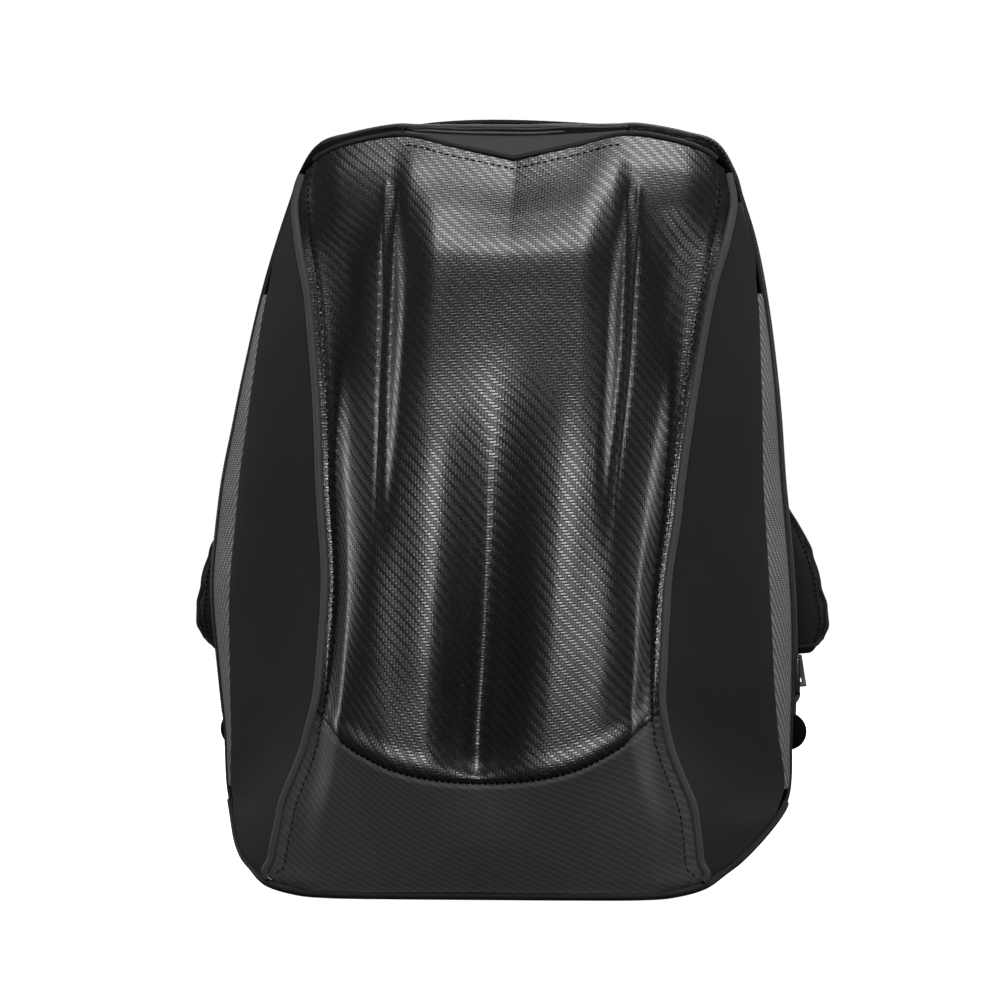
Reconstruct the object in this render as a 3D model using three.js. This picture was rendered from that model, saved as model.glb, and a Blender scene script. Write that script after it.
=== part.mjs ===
// Hard shell backpack: a moulded front shell on a soft body, with padded straps and a grab handle.
// Millimetres, +Z up. The shell faces -Y and the back panel faces +Y. It stands on its base panel.
import * as THREE from 'three';

// Body
const bodyWidth = 362;
const bodyHeight = 476;
const bodyDepth = 152;
const gap = 0.3;
const clothThickness = 2;
const nylonThickness = 1.5;

// Shell
const shellThickness = 3;
const centrePanelWidth = 125;
const panelBevelWidth = 13.5;
const creaseHeight = 73;
const creaseRise = 42;
const notchDepth = 16;
const shoulderDrop = 25;
const footCornerRise = 6;
const creaseFadeHeight = 262;
const topDipReach = 105;

// The crest stands at a share of the centre panel's half width, and the flank and the flange at shares of the
// way from the panel's foot to the shell's edge
const crestShare = 0.7;
const flankShare = 0.5;
const flangeShare = 0.8;

// Side panels and bands, by the height of the shell's edge beside them. A drop is measured down from the body's
// height, and a band's tip is a share of the way from one station to the next.
const panelFootHeight = 21;
const panelTopDrop = 48;
const bandFootHeight = 64;
const bandTopDrop = 104;
const bandTip = 0.9;

// Welts and bound edges. The top welt reaches a share of the way to each shoulder.
const pipingRadius = 2.4;
const topWeltRadius = 1.6;
const topWeltReach = 0.95;
const bindingRadius = 2.6;

// Base, back and rear gusset
const basePanelThickness = 5;
const backPanelThickness = 12;
const backInset = 22;
const rearRollDepth = 14;
const rearRollInset = 6.6;
const rearRollDrop = 2.2;
const rearEdgeDrop = 8.8;
const rimDepth = 34;
const rimRise = 20;
const zipWidth = 9;
const zipThickness = 1.2;
const zipSetback = 5;
const zipLift = 2 * gap;
const zipFootHeight = 110;
const sliderLength = 26;
const sliderWidth = 7;
const sliderThickness = 3;

// Handle
const handleSpan = 136;
const handleRise = 4;
const handleWidth = 18;
const handleThickness = 2.5;

// How far the loaded body leans to the right at its top, how far its front has slipped to the left, low down,
// and the depths where the slip starts and where it is whole
const bodyLean = 7;
const frontSlip = 8;
const slipStartDepth = 47;
const slipWholeDepth = 114;

// Straps
const strapWidth = 62;
const strapThickness = 11;
const strapStandOff = 40;
const webbingWidth = 25;
const webbingThickness = 1.8;
const lockWidth = 34;
const lockHeight = 20;
const lockThickness = 4;
const lockBar = 2.8;
const webbingBend = 5;
const anchorLength = 44;
const anchorWidth = 24;
const anchorThickness = 3;
const anchorHeight = 96;
const anchorLap = 12;

// The shell's depth at seven named places across its half width, a row for each height.
// Heights are shares of the body's height and depths are shares of its depth.
const chinSections = [
  { height: 0.012, edge: 0.75, flange: 0.77, flank: 0.815, foot: 0.83, panel: 0.832, crest: 0.835, centre: 0.835 },
  { height: 0.08, edge: 0.776, flange: 0.8, flank: 0.88, foot: 0.908, panel: 0.914, crest: 0.92, centre: 0.92 },
  { height: 0.153, edge: 0.796, flange: 0.836, flank: 0.967, foot: 0.993, panel: 1, crest: 1, centre: 0.974 },
];
const faceSections = [
  { height: 0.153, edge: 0.796, flange: 0.836, flank: 0.967, foot: 0.993, panel: 1, crest: 1, centre: 0.974 },
  { height: 0.25, edge: 0.77, flange: 0.79, flank: 0.93, foot: 0.98, panel: 0.99, crest: 0.995, centre: 0.944 },
  { height: 0.42, edge: 0.711, flange: 0.724, flank: 0.862, foot: 0.94, panel: 0.954, crest: 0.967, centre: 0.914 },
  { height: 0.557, edge: 0.664, flange: 0.671, flank: 0.763, foot: 0.855, panel: 0.908, crest: 0.921, centre: 0.882 },
  { height: 0.651, edge: 0.605, flange: 0.605, flank: 0.658, foot: 0.757, panel: 0.849, crest: 0.868, centre: 0.849 },
  { height: 0.735, edge: 0.553, flange: 0.546, flank: 0.566, foot: 0.664, panel: 0.776, crest: 0.803, centre: 0.796 },
  { height: 0.83, edge: 0.487, flange: 0.487, flank: 0.5, foot: 0.579, panel: 0.664, crest: 0.71, centre: 0.71 },
  { height: 0.893, edge: 0.434, flange: 0.454, flank: 0.487, foot: 0.513, panel: 0.56, crest: 0.592, centre: 0.592 },
  { height: 0.945, edge: 0.38, flange: 0.415, flank: 0.44, foot: 0.44, panel: 0.46, crest: 0.47, centre: 0.48 },
  { height: 0.992, edge: 0.33, flange: 0.35, flank: 0.355, foot: 0.345, panel: 0.345, crest: 0.36, centre: 0.39 },
];

// Where the named places stand across the shell, and how its top and foot edges run through them.
// notchDip is a share of the notch's depth, shoulderDip of the shoulder's drop and footLift of the foot's rise.
const shellPlaces = [
  { place: 'centre', across: 0, notchDip: 1, shoulderDip: 0, footLift: 0 },
  { place: 'crest', across: 0.3, notchDip: 0.4, shoulderDip: 0, footLift: 0 },
  { place: 'panel', across: 0.45, notchDip: 0.08, shoulderDip: 0, footLift: 0 },
  { place: 'foot', across: 0.58, notchDip: 0, shoulderDip: 0.02, footLift: 0 },
  { place: 'flank', across: 0.78, notchDip: 0, shoulderDip: 0.24, footLift: 0.06 },
  { place: 'flange', across: 0.92, notchDip: 0, shoulderDip: 0.52, footLift: 0.35 },
  { place: 'edge', across: 1, notchDip: 0, shoulderDip: 1, footLift: 1 },
];

// The body's sides, a row for each height. outline is the silhouette's share of the half width, edge is the
// shell's share of the outline, panel is the centre panel's share of its own width, fold is where the side
// panel folds into the band, from the shell's edge (0) to the outline (1), and the depths are shares.
const sideSections = [
  { height: 0.01, outline: 0.69, edge: 0.965, panel: 0.95, fold: 0.5, foldDepth: 0.74, outlineDepth: 0.73 },
  { height: 0.025, outline: 0.768, edge: 0.962, panel: 0.94, fold: 0.6, foldDepth: 0.72, outlineDepth: 0.69 },
  { height: 0.05, outline: 0.852, edge: 0.855, panel: 0.93, fold: 0.65, foldDepth: 0.66, outlineDepth: 0.59 },
  { height: 0.092, outline: 0.93, edge: 0.765, panel: 0.92, fold: 0.78, foldDepth: 0.54, outlineDepth: 0.43 },
  { height: 0.13, outline: 0.97, edge: 0.711, panel: 0.92, fold: 0.95, foldDepth: 0.36, outlineDepth: 0.31 },
  { height: 0.206, outline: 0.978, edge: 0.627, panel: 0.92, fold: 0.91, foldDepth: 0.41, outlineDepth: 0.31 },
  { height: 0.273, outline: 0.989, edge: 0.589, panel: 0.92, fold: 0.875, foldDepth: 0.45, outlineDepth: 0.31 },
  { height: 0.389, outline: 1, edge: 0.58, panel: 0.92, fold: 0.835, foldDepth: 0.475, outlineDepth: 0.31 },
  { height: 0.494, outline: 0.978, edge: 0.619, panel: 0.93, fold: 0.82, foldDepth: 0.467, outlineDepth: 0.305 },
  { height: 0.6, outline: 0.944, edge: 0.668, panel: 0.95, fold: 0.83, foldDepth: 0.447, outlineDepth: 0.3 },
  { height: 0.683, outline: 0.913, edge: 0.718, panel: 0.97, fold: 0.85, foldDepth: 0.41, outlineDepth: 0.29 },
  { height: 0.779, outline: 0.868, edge: 0.797, panel: 0.98, fold: 0.9, foldDepth: 0.33, outlineDepth: 0.285 },
  { height: 0.857, outline: 0.818, edge: 0.904, panel: 1, fold: 0.8, foldDepth: 0.33, outlineDepth: 0.28 },
  { height: 0.91, outline: 0.775, edge: 0.972, panel: 1, fold: 0.6, foldDepth: 0.33, outlineDepth: 0.265 },
  { height: 0.94, outline: 0.752, edge: 0.978, panel: 1, fold: 0.6, foldDepth: 0.32, outlineDepth: 0.25 },
];

// The top of the body over the shell's top edge, from the shoulder to the middle. fold is where the insert
// meets the flap and rim is the highest line; both rise above the shell's edge by shares of the rim's rise.
// outward and rear are shares of the shell's own distance from the middle, at the rim and at the back.
const topSections = [
  { across: 0.92, outward: 1.02, rear: 0.9, fold: 0.2, rim: 0.32, foldDepth: 0.31, rimDepth: 1.1 },
  { across: 0.78, outward: 1.012, rear: 0.93, fold: 0.16, rim: 0.28, foldDepth: 0.29, rimDepth: 1.04 },
  { across: 0.58, outward: 1.006, rear: 0.95, fold: 0.14, rim: 0.28, foldDepth: 0.29, rimDepth: 1 },
  { across: 0.45, outward: 1.004, rear: 0.96, fold: 0.14, rim: 0.3, foldDepth: 0.3, rimDepth: 1 },
  { across: 0.3, outward: 1, rear: 0.96, fold: 0.34, rim: 0.54, foldDepth: 0.305, rimDepth: 1 },
  { across: 0.14, outward: 1, rear: 0.96, fold: 0.56, rim: 0.79, foldDepth: 0.305, rimDepth: 1 },
  { across: 0, outward: 1, rear: 1, fold: 0.76, rim: 1, foldDepth: 0.305, rimDepth: 1 },
];

// A strap's middle line from its seat under the handle to its end, as shares of the body's half width, the
// body's height and the straps' stand-off.
const strapRoute = [
  { across: 0.3, height: 0.945, out: 0.0, width: 0.8, thickness: 0.55 },
  { across: 0.33, height: 0.9, out: 0.16, width: 0.88, thickness: 1 },
  { across: 0.4, height: 0.82, out: 0.52, width: 0.95, thickness: 1 },
  { across: 0.51, height: 0.72, out: 0.86, width: 1, thickness: 1 },
  { across: 0.65, height: 0.61, out: 1, width: 1, thickness: 1 },
  { across: 0.79, height: 0.505, out: 0.95, width: 1, thickness: 1 },
  { across: 0.895, height: 0.405, out: 0.74, width: 1, thickness: 1 },
  { across: 0.93, height: 0.297, out: 0.5, width: 0.94, thickness: 0.8 },
];

// How the body's lean to the right and the slip of its front to the left run up the body, as shares of each
const leanRun = [
  { height: 0, lean: -0.35, slip: 0.6 },
  { height: 0.05, lean: -0.1, slip: 0.8 },
  { height: 0.11, lean: 0.3, slip: 1 },
  { height: 0.2, lean: 0.25, slip: 0.95 },
  { height: 0.3, lean: 0, slip: 0.4 },
  { height: 0.42, lean: -0.35, slip: -0.25 },
  { height: 0.52, lean: -0.3, slip: -0.4 },
  { height: 0.62, lean: 0.1, slip: -0.3 },
  { height: 0.75, lean: 0.55, slip: -0.2 },
  { height: 0.87, lean: 0.9, slip: 0 },
  { height: 1, lean: 1, slip: 0 },
];

const panelTopHeight = bodyHeight - panelTopDrop;
const bandTopHeight = bodyHeight - bandTopDrop;
const weltSeat = pipingRadius + 2.5 * gap;
const topWeltSeat = topWeltRadius + 2 * gap;
const shellFoot = 2 * bindingRadius + 3 * gap;
const halfWidth = bodyWidth / 2;
const bagCentre = new THREE.Vector3(0, -0.4 * bodyDepth, 0.5 * bodyHeight);

const clamp = THREE.MathUtils.clamp;
const lerp = THREE.MathUtils.lerp;
const smoothstep = THREE.MathUtils.smoothstep;

/** A smooth curve through rows of a table that never overshoots them: value(row) against at(row). */
function curveThrough(rows, at, value) {
  const xs = rows.map(at);
  const ys = rows.map(value);
  const last = xs.length - 1;
  const slopes = xs.slice(1).map((x, i) => (ys[i + 1] - ys[i]) / (x - xs[i]));
  const tangents = ys.map((_, i) => {
    if (i === 0) return slopes[0];
    if (i === last) return slopes[last - 1];
    const before = slopes[i - 1];
    const after = slopes[i];
    return before * after <= 0 ? 0 : (2 * before * after) / (before + after);
  });
  return (x) => {
    let i = 0;
    while (i < last - 1 && x > xs[i + 1]) i += 1;
    const width = xs[i + 1] - xs[i];
    const t = clamp((x - xs[i]) / width, 0, 1);
    const rise = ys[i + 1] - ys[i];
    const ease = t * t * (3 - 2 * t);
    const lead = t * (1 - t) * (1 - t) * width * tangents[i];
    const trail = t * t * (1 - t) * width * tangents[i + 1];
    return ys[i] + ease * rise + lead - trail;
  };
}

// Named curves of the body, all against a height in millimetres
const heightOf = (row) => row.height * bodyHeight;
const sideCurve = (key, scale) => curveThrough(sideSections, heightOf, (r) => r[key] * scale);
const outlineHalf = sideCurve('outline', halfWidth);
const outlineDepthAt = sideCurve('outlineDepth', bodyDepth);
const edgeShare = sideCurve('edge', 1);
const panelHalf = sideCurve('panel', centrePanelWidth / 2);
const foldShare = sideCurve('fold', 1);
const foldDepthAt = sideCurve('foldDepth', bodyDepth);
const edgeHalf = (height) => outlineHalf(height) * edgeShare(height);

/** One curve up the shell for each named place. */
function depthCurves(sections) {
  return shellPlaces.map(({ place }) =>
    curveThrough(sections, heightOf, (r) => r[place] * bodyDepth));
}

const chinCurves = depthCurves(chinSections);
const faceCurves = depthCurves(faceSections);
const shellTop = faceSections.at(-1).height * bodyHeight;
const topDipFromHeight = bodyHeight - topDipReach;

const notchDip = curveThrough(shellPlaces, (r) => r.across, (r) => r.notchDip * notchDepth);
const shoulderDip = curveThrough(shellPlaces, (r) => r.across, (r) => r.shoulderDip * shoulderDrop);
const footRise = curveThrough(shellPlaces, (r) => r.across, (r) => r.footLift * footCornerRise);

/** The values at the named places, mirrored about the middle so that the section is smooth there. */
function across(values) {
  const rows = shellPlaces.map((r, i) => ({ at: r.across, value: values[i] }));
  const ghost = { at: -rows[1].at, value: rows[1].value };
  return curveThrough([ghost, ...rows], (r) => r.at, (r) => r.value);
}

/** The height of the shell's surface for a reference height, at a share of the way across. */
function shellHeight(share, height) {
  const s = Math.abs(share);
  const toCrease = smoothstep(height, shellFoot, creaseHeight);
  const fromCrease = 1 - smoothstep(height, creaseHeight, creaseFadeHeight);
  const lift = creaseRise * s * s * Math.min(toCrease, fromCrease);
  const dip = (notchDip(s) + shoulderDip(s)) * smoothstep(height, topDipFromHeight, shellTop);
  const rise = footRise(s) * (1 - smoothstep(height, shellFoot, creaseHeight));
  return height + lift - dip + rise;
}

/** How far a place stands from the middle, at a height. */
function shellAcross(share, height) {
  const edge = edgeHalf(height);
  const panel = panelHalf(height);
  const foot = panel + panelBevelWidth * panel / (centrePanelWidth / 2);
  const rest = edge - foot;
  const places = [0, crestShare * panel, panel, foot, foot + flankShare * rest, foot + flangeShare * rest, edge];
  const rows = shellPlaces.map((r, i) => ({ at: r.across, value: places[i] }));
  return Math.sign(share) * curveThrough(rows, (r) => r.at, (r) => r.value)(Math.abs(share));
}

/** The shell's outer surface: share runs -1 to 1 across, height is the reference height. */
function shellSurface(share, height) {
  const s = Math.abs(share);
  const curves = height < creaseHeight ? chinCurves : faceCurves;
  const depth = across(curves.map((curve) => curve(height)))(s);
  const z = shellHeight(share, height);
  const x = shellAcross(share, shellHeight(1, height));
  return new THREE.Vector3(x, -depth, z);
}

/** The outward normal of a surface at (u, v), away from the middle of the bag. */
function outward(surface, u, v, [lowU, highU, lowV, highV]) {
  const du = (highU - lowU) * 1e-3;
  const dv = (highV - lowV) * 1e-3;
  const alongU = surface(Math.min(u + du, highU), v).sub(surface(Math.max(u - du, lowU), v));
  const alongV = surface(u, Math.min(v + dv, highV)).sub(surface(u, Math.max(v - dv, lowV)));
  const normal = alongU.cross(alongV).normalize();
  const away = surface(u, v).sub(bagCentre);
  return normal.dot(away) < 0 ? normal.negate() : normal;
}

/** A geometry from points and faces, turned so that its faces point out. */
function closedGeometry(points, faces) {
  let volume = 0;
  for (const [a, b, c] of faces) {
    volume += points[a].dot(points[b].clone().cross(points[c]));
  }
  const index = volume < 0 ? faces.map(([a, b, c]) => [a, c, b]) : faces;
  const geometry = new THREE.BufferGeometry();
  const numbers = points.flatMap((p) => p.toArray());
  geometry.setAttribute('position', new THREE.Float32BufferAttribute(numbers, 3));
  geometry.setIndex(index.flat());
  geometry.computeVertexNormals();
  return geometry;
}

/** Two triangles for a quad. */
const quad = (a, b, c, d) => [[a, b, c], [a, c, d]];

/** A closed wall between two grids of points with the same rows, the second inside the first. */
function slab(outer, inner) {
  const rows = outer.length;
  const columns = outer[0].length;
  const points = [...outer.flat(), ...inner.flat()];
  const out = (i, j) => j * columns + i;
  const into = (i, j) => rows * columns + j * columns + i;
  const faces = [];
  for (let j = 0; j < rows - 1; j += 1) {
    for (let i = 0; i < columns - 1; i += 1) {
      faces.push(...quad(out(i, j), out(i + 1, j), out(i + 1, j + 1), out(i, j + 1)));
      faces.push(...quad(into(i, j), into(i, j + 1), into(i + 1, j + 1), into(i + 1, j)));
    }
  }
  for (let i = 0; i < columns - 1; i += 1) {
    faces.push(...quad(out(i, 0), into(i, 0), into(i + 1, 0), out(i + 1, 0)));
    faces.push(...quad(out(i + 1, rows - 1), into(i + 1, rows - 1), into(i, rows - 1), out(i, rows - 1)));
  }
  for (let j = 0; j < rows - 1; j += 1) {
    faces.push(...quad(out(0, j + 1), into(0, j + 1), into(0, j), out(0, j)));
    const end = columns - 1;
    faces.push(...quad(out(end, j), into(end, j), into(end, j + 1), out(end, j + 1)));
  }
  return closedGeometry(points, faces);
}

/** A wall of a surface: place(i, j) gives the surface's own (u, v) for each grid point. */
function wall(surface, limits, columns, rows, place, thickness) {
  const grid = (depth) => rows.map((q) => columns.map((p) => {
    const [u, v] = place(p, q);
    return surface(u, v).addScaledVector(outward(surface, u, v, limits), -depth);
  }));
  return slab(grid(0), grid(thickness));
}

/** Evenly spaced shares from 0 to 1. */
const shares = (steps) => Array.from({ length: steps + 1 }, (_, i) => i / steps);

/** A solid along a route: ring(t) gives the closed section's points at each share of the way. */
function loft(ring, stations) {
  const rings = stations.map(ring);
  const count = rings[0].length;
  const points = rings.flat();
  const faces = [];
  for (let j = 0; j < rings.length - 1; j += 1) {
    for (let i = 0; i < count; i += 1) {
      const next = (i + 1) % count;
      faces.push(...quad(j * count + i, j * count + next, (j + 1) * count + next, (j + 1) * count + i));
    }
  }
  for (const [j, turn] of [[0, -1], [rings.length - 1, 1]]) {
    const middle = points.length;
    points.push(rings[j].reduce((sum, p) => sum.add(p), new THREE.Vector3()).divideScalar(count));
    for (let i = 0; i < count; i += 1) {
      const pair = [j * count + i, j * count + ((i + 1) % count)];
      faces.push(turn > 0 ? [middle, ...pair] : [middle, ...pair.reverse()]);
    }
  }
  return closedGeometry(points, faces);
}

/** A round cord along a curve. */
function cord(curve, radius, steps, sides) {
  const outline = shares(sides).slice(0, sides).map((t) => {
    const turn = t * 2 * Math.PI;
    return new THREE.Vector2(radius * Math.cos(turn), radius * Math.sin(turn));
  });
  return new THREE.ExtrudeGeometry(new THREE.Shape(outline), { extrudePath: curve, steps, bevelEnabled: false });
}

/** A named mesh with its own material. */
function piece(name, geometry, colour, roughness, metalness = 0) {
  const material = new THREE.MeshStandardMaterial({ color: colour, roughness, metalness });
  const mesh = new THREE.Mesh(geometry, material);
  mesh.name = name;
  return mesh;
}

// Colours
const shellBlack = 0x1c1c1e;
const neopreneBlack = 0x222327;
const nylonBlack = 0x141314;
const pipingGrey = 0x404247;
const insertGrey = 0x3c3b40;
const bandGrey = 0x4a4748;
const plasticBlack = 0x151516;

// Places on the shell, left to right, with the bevel's two edges on lines of the grid
const halfColumns = [0.15, 0.3, 0.38, 0.45, 0.515, 0.58, 0.68, 0.78, 0.85, 0.92, 0.96, 1];
const shellColumns = [...halfColumns.map((s) => -s).reverse(), 0, ...halfColumns];
const chinRows = 6;
const faceRows = 24;
const shellRows = [
  ...shares(chinRows).slice(0, chinRows).map((t) => lerp(shellFoot, creaseHeight, t)),
  ...shares(faceRows).map((t) => lerp(creaseHeight, shellTop, t ** 0.85)),
];

function frontShell() {
  const place = (p, q) => {
    const edge = edgeHalf(shellHeight(1, q));
    return [p * (1 - weltSeat / edge), Math.min(q, shellTop - topWeltSeat)];
  };
  const limits = [-1, 1, shellFoot, shellTop];
  const geometry = wall(shellSurface, limits, shellColumns, shellRows, place, shellThickness);
  return piece('front_shell', geometry, shellBlack, 0.38);
}

/** The reference height at which the shell's edge stands at a height. */
function referenceFor(height) {
  let low = shellFoot;
  let high = shellTop;
  for (let round = 0; round < 40; round += 1) {
    const between = (low + high) / 2;
    if (shellHeight(1, between) < height) low = between;
    else high = between;
  }
  return (low + high) / 2;
}

// The ring round the body: at each station five points run from the shell's edge over the fold and the widest
// line to the back panel. Stations go up the right side and over the top, and are mirrored for the left.
const edgeFoot = shellHeight(1, shellFoot);
const edgeTop = shellHeight(1, shellTop);
const nearestStation = 4;
const sideStations = [
  edgeFoot,
  ...sideSections.map(heightOf).filter((z) => z > edgeFoot + nearestStation && z < edgeTop - nearestStation),
  edgeTop,
];

/** The station, counted up from the foot, whose edge stands at a height. */
function stationAt(height) {
  const above = clamp(sideStations.findIndex((z) => z > height), 1, sideStations.length - 1);
  const [low, high] = [sideStations[above - 1], sideStations[above]];
  return above - 1 + (height - low) / (high - low);
}

// A seam's seat takes at most this share of the way to the fold
const widestSeat = 0.7;

/** The five points of a station on the side. */
function sideStation(edgeHeight) {
  const edge = shellSurface(1, referenceFor(edgeHeight));
  const height = edge.z;
  const outlineX = outlineHalf(height);
  const rear = lerp(shellFoot, edgeTop, (height - edgeFoot) / (edgeTop - edgeFoot));
  const rearX = outlineHalf(rear);
  const foldX = lerp(edge.x, outlineX, foldShare(height));
  const fold = new THREE.Vector3(foldX, -foldDepthAt(height), height);
  const seat = Math.min(weltSeat / edge.distanceTo(fold), widestSeat);
  return [
    edge.clone().lerp(fold, seat),
    fold,
    new THREE.Vector3(outlineX, -outlineDepthAt(height), height),
    new THREE.Vector3(rearX - rearRollInset, -rearRollDepth, rear),
    new THREE.Vector3(rearX - backInset, -gap, rear),
  ];
}

/** The five points of a station on the top. */
function topStation(row) {
  const edge = shellSurface(row.across, shellTop);
  const foldZ = edge.z + row.fold * rimRise;
  const rimZ = edge.z + row.rim * rimRise;
  const x = edge.x * row.outward;
  const rearX = edge.x * row.rear;
  const fold = new THREE.Vector3((edge.x + x) / 2, -row.foldDepth * bodyDepth, foldZ);
  const seat = Math.min(topWeltSeat / edge.distanceTo(fold), widestSeat);
  return [
    edge.clone().lerp(fold, seat),
    fold,
    new THREE.Vector3(x, -row.rimDepth * rimDepth, rimZ),
    new THREE.Vector3(lerp(x, rearX, rearRollInset / backInset), -rearRollDepth, rimZ - rearRollDrop),
    new THREE.Vector3(rearX, -gap, rimZ - rearEdgeDrop),
  ];
}

const halfStations = [...sideStations.map(sideStation), ...topSections.map(topStation)];
const mirrored = (points) => points.map((p) => new THREE.Vector3(-p.x, p.y, p.z));
const ringStations = [...halfStations, ...halfStations.slice(0, -1).reverse().map(mirrored)];
const ringLines = [0, 1, 2, 3, 4].map((k) => new THREE.CatmullRomCurve3(ringStations.map((s) => s[k])));
const stationStep = 1 / (ringStations.length - 1);
const shoulderStation = sideStations.length - 1;
const foldLine = 0.25;
const widestLine = 0.5;

/** The body's surface round the shell: u from the shell's edge to the back, v from low right over to low left. */
function ringSurface(u, v) {
  const section = new THREE.CatmullRomCurve3(ringLines.map((line) => line.getPoint(v)));
  return section.getPoint(u);
}

const ringLimits = [0, 1, 0, 1];

const measured = new Map();

/** The u that lies a length in millimetres from a line of the ring, towards the back (1) or the shell (-1). */
function ringOffset(line, v, length, direction) {
  const key = [line, v, length, direction].join();
  if (!measured.has(key)) {
    const start = ringSurface(line, v);
    const step = 0.004 * direction;
    let u = line + step;
    while (u > 0.02 && u < 0.98 && start.distanceTo(ringSurface(u, v)) < length) u += step;
    measured.set(key, u);
  }
  return measured.get(key);
}

/** A strip of the ring between two lines, from one station to another. The left one is the mirror image. */
function ringStrip(side, from, to, [startLine, endLine], columns, rows, thickness) {
  const place = (p, q) => {
    const station = lerp(from, to, q) * stationStep;
    return [lerp(startLine(station), endLine(station), p), station];
  };
  const geometry = wall(ringSurface, ringLimits, shares(columns), shares(rows), place, thickness);
  if (side > 0) return geometry;
  return mirrorGeometry(geometry);
}

/** The mirror image of a geometry about the middle of the bag, with its faces turned back out. */
function mirrorGeometry(geometry) {
  const position = geometry.getAttribute('position');
  const pointAt = (_, i) => new THREE.Vector3().fromBufferAttribute(position, i);
  const points = Array.from({ length: position.count }, pointAt);
  const index = Array.from(geometry.getIndex().array);
  const faces = Array.from({ length: index.length / 3 }, (_, i) => index.slice(3 * i, 3 * i + 3));
  return closedGeometry(mirrored(points), faces);
}

const sides = [{ side: -1, label: 'left' }, { side: 1, label: 'right' }];

// Stations, counted up from the foot, where the side's strips start and end
const panelFrom = stationAt(panelFootHeight);
const panelTo = stationAt(panelTopHeight);
const bandFrom = stationAt(bandFootHeight);
const bandTo = stationAt(bandTopHeight);
const bandEase = 0.1;
const yokeFrom = panelTo + 0.15;
const peakStation = shoulderStation + 3.4;
const cornerFrom = 0.45;
const cornerTo = bandFrom - 0.4;
const topStationLast = halfStations.length - 1;

const atShellEdge = () => 0;
const beforeFold = (v) => ringOffset(foldLine, v, gap, -1);
const afterFold = (v) => ringOffset(foldLine, v, gap, 1);
const beforeWidest = (v) => ringOffset(widestLine, v, 1.5 * gap, -1);

/** The binding climbs the lower corners along the widest line, so the walls keep off it there. */
function bindingSeat(v) {
  const station = Math.min(v, 1 - v) / stationStep;
  return lerp(bindingRadius + 7 * gap, gap, smoothstep(station, bandFrom - bandEase, bandFrom + bandEase));
}

const beforeBinding = (v) => ringOffset(widestLine, v, bindingSeat(v), -1);
const afterBinding = (v) => ringOffset(widestLine, v, bindingSeat(v), 1);

function sidePanel({ side, label }) {
  const rear = (v) => {
    const withBand = beforeFold(v);
    const station = v / stationStep;
    const low = 1 - smoothstep(station, bandFrom - bandTip, bandFrom - bandEase);
    const high = smoothstep(station, bandTo + bandEase, bandTo + bandTip);
    return lerp(withBand, beforeBinding(v), Math.max(low, high));
  };
  const geometry = ringStrip(side, panelFrom, panelTo, [atShellEdge, rear], 6, 24, clothThickness);
  return piece(`side_panel_${label}`, geometry, neopreneBlack, 0.75);
}

function sideBand({ side, label }) {
  const geometry = ringStrip(side, bandFrom, bandTo, [afterFold, beforeWidest], 3, 16, clothThickness);
  return piece(`side_band_${label}`, geometry, bandGrey, 0.42);
}

function shoulderYoke({ side, label }) {
  const geometry = ringStrip(side, yokeFrom, peakStation, [atShellEdge, beforeWidest], 3, 10, nylonThickness);
  return piece(`shoulder_yoke_${label}`, geometry, nylonBlack, 0.7);
}

/** A strip of the top between the peaks, in one piece. */
function topStrip(name, lines, columns, rows, thickness, colour) {
  const from = peakStation + 0.1;
  const to = 2 * topStationLast - from;
  const geometry = ringStrip(1, from, to, lines, columns, rows, thickness);
  return piece(name, geometry, colour, 0.75);
}

const topInsert = () => topStrip('top_insert', [atShellEdge, beforeFold], 3, 12, clothThickness, insertGrey);
const zipFlap = () => topStrip('zip_flap', [afterFold, beforeWidest], 2, 16, nylonThickness, nylonBlack);

const ringLast = 2 * topStationLast;
const gussetRows = 60;

function rearGusset() {
  const rear = () => 1;
  const geometry = ringStrip(1, 0, ringLast, [afterBinding, rear], 3, gussetRows, nylonThickness);
  return piece('rear_gusset', geometry, nylonBlack, 0.7);
}

/** The rear gusset's surface, raised by the zip's tape. */
function zipSurface(u, v) {
  const normal = outward(ringSurface, u, v, ringLimits);
  return ringSurface(u, v).addScaledVector(normal, zipLift + zipThickness);
}

const zipFrom = stationAt(zipFootHeight);

/** The zip runs up one side, over the top and down the other, just behind the widest line. */
function mainZip() {
  const near = (v) => ringOffset(widestLine, v, zipSetback, 1);
  const far = (v) => ringOffset(widestLine, v, zipSetback + zipWidth, 1);
  const rows = shares(gussetRows).filter((t) => Math.min(t, 1 - t) * ringLast > zipFrom);
  const place = (p, q) => [lerp(near(q), far(q), p), q];
  const geometry = wall(zipSurface, ringLimits, [0, 1], rows, place, zipThickness);
  return piece('main_zip', geometry, nylonBlack, 0.6);
}

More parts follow.
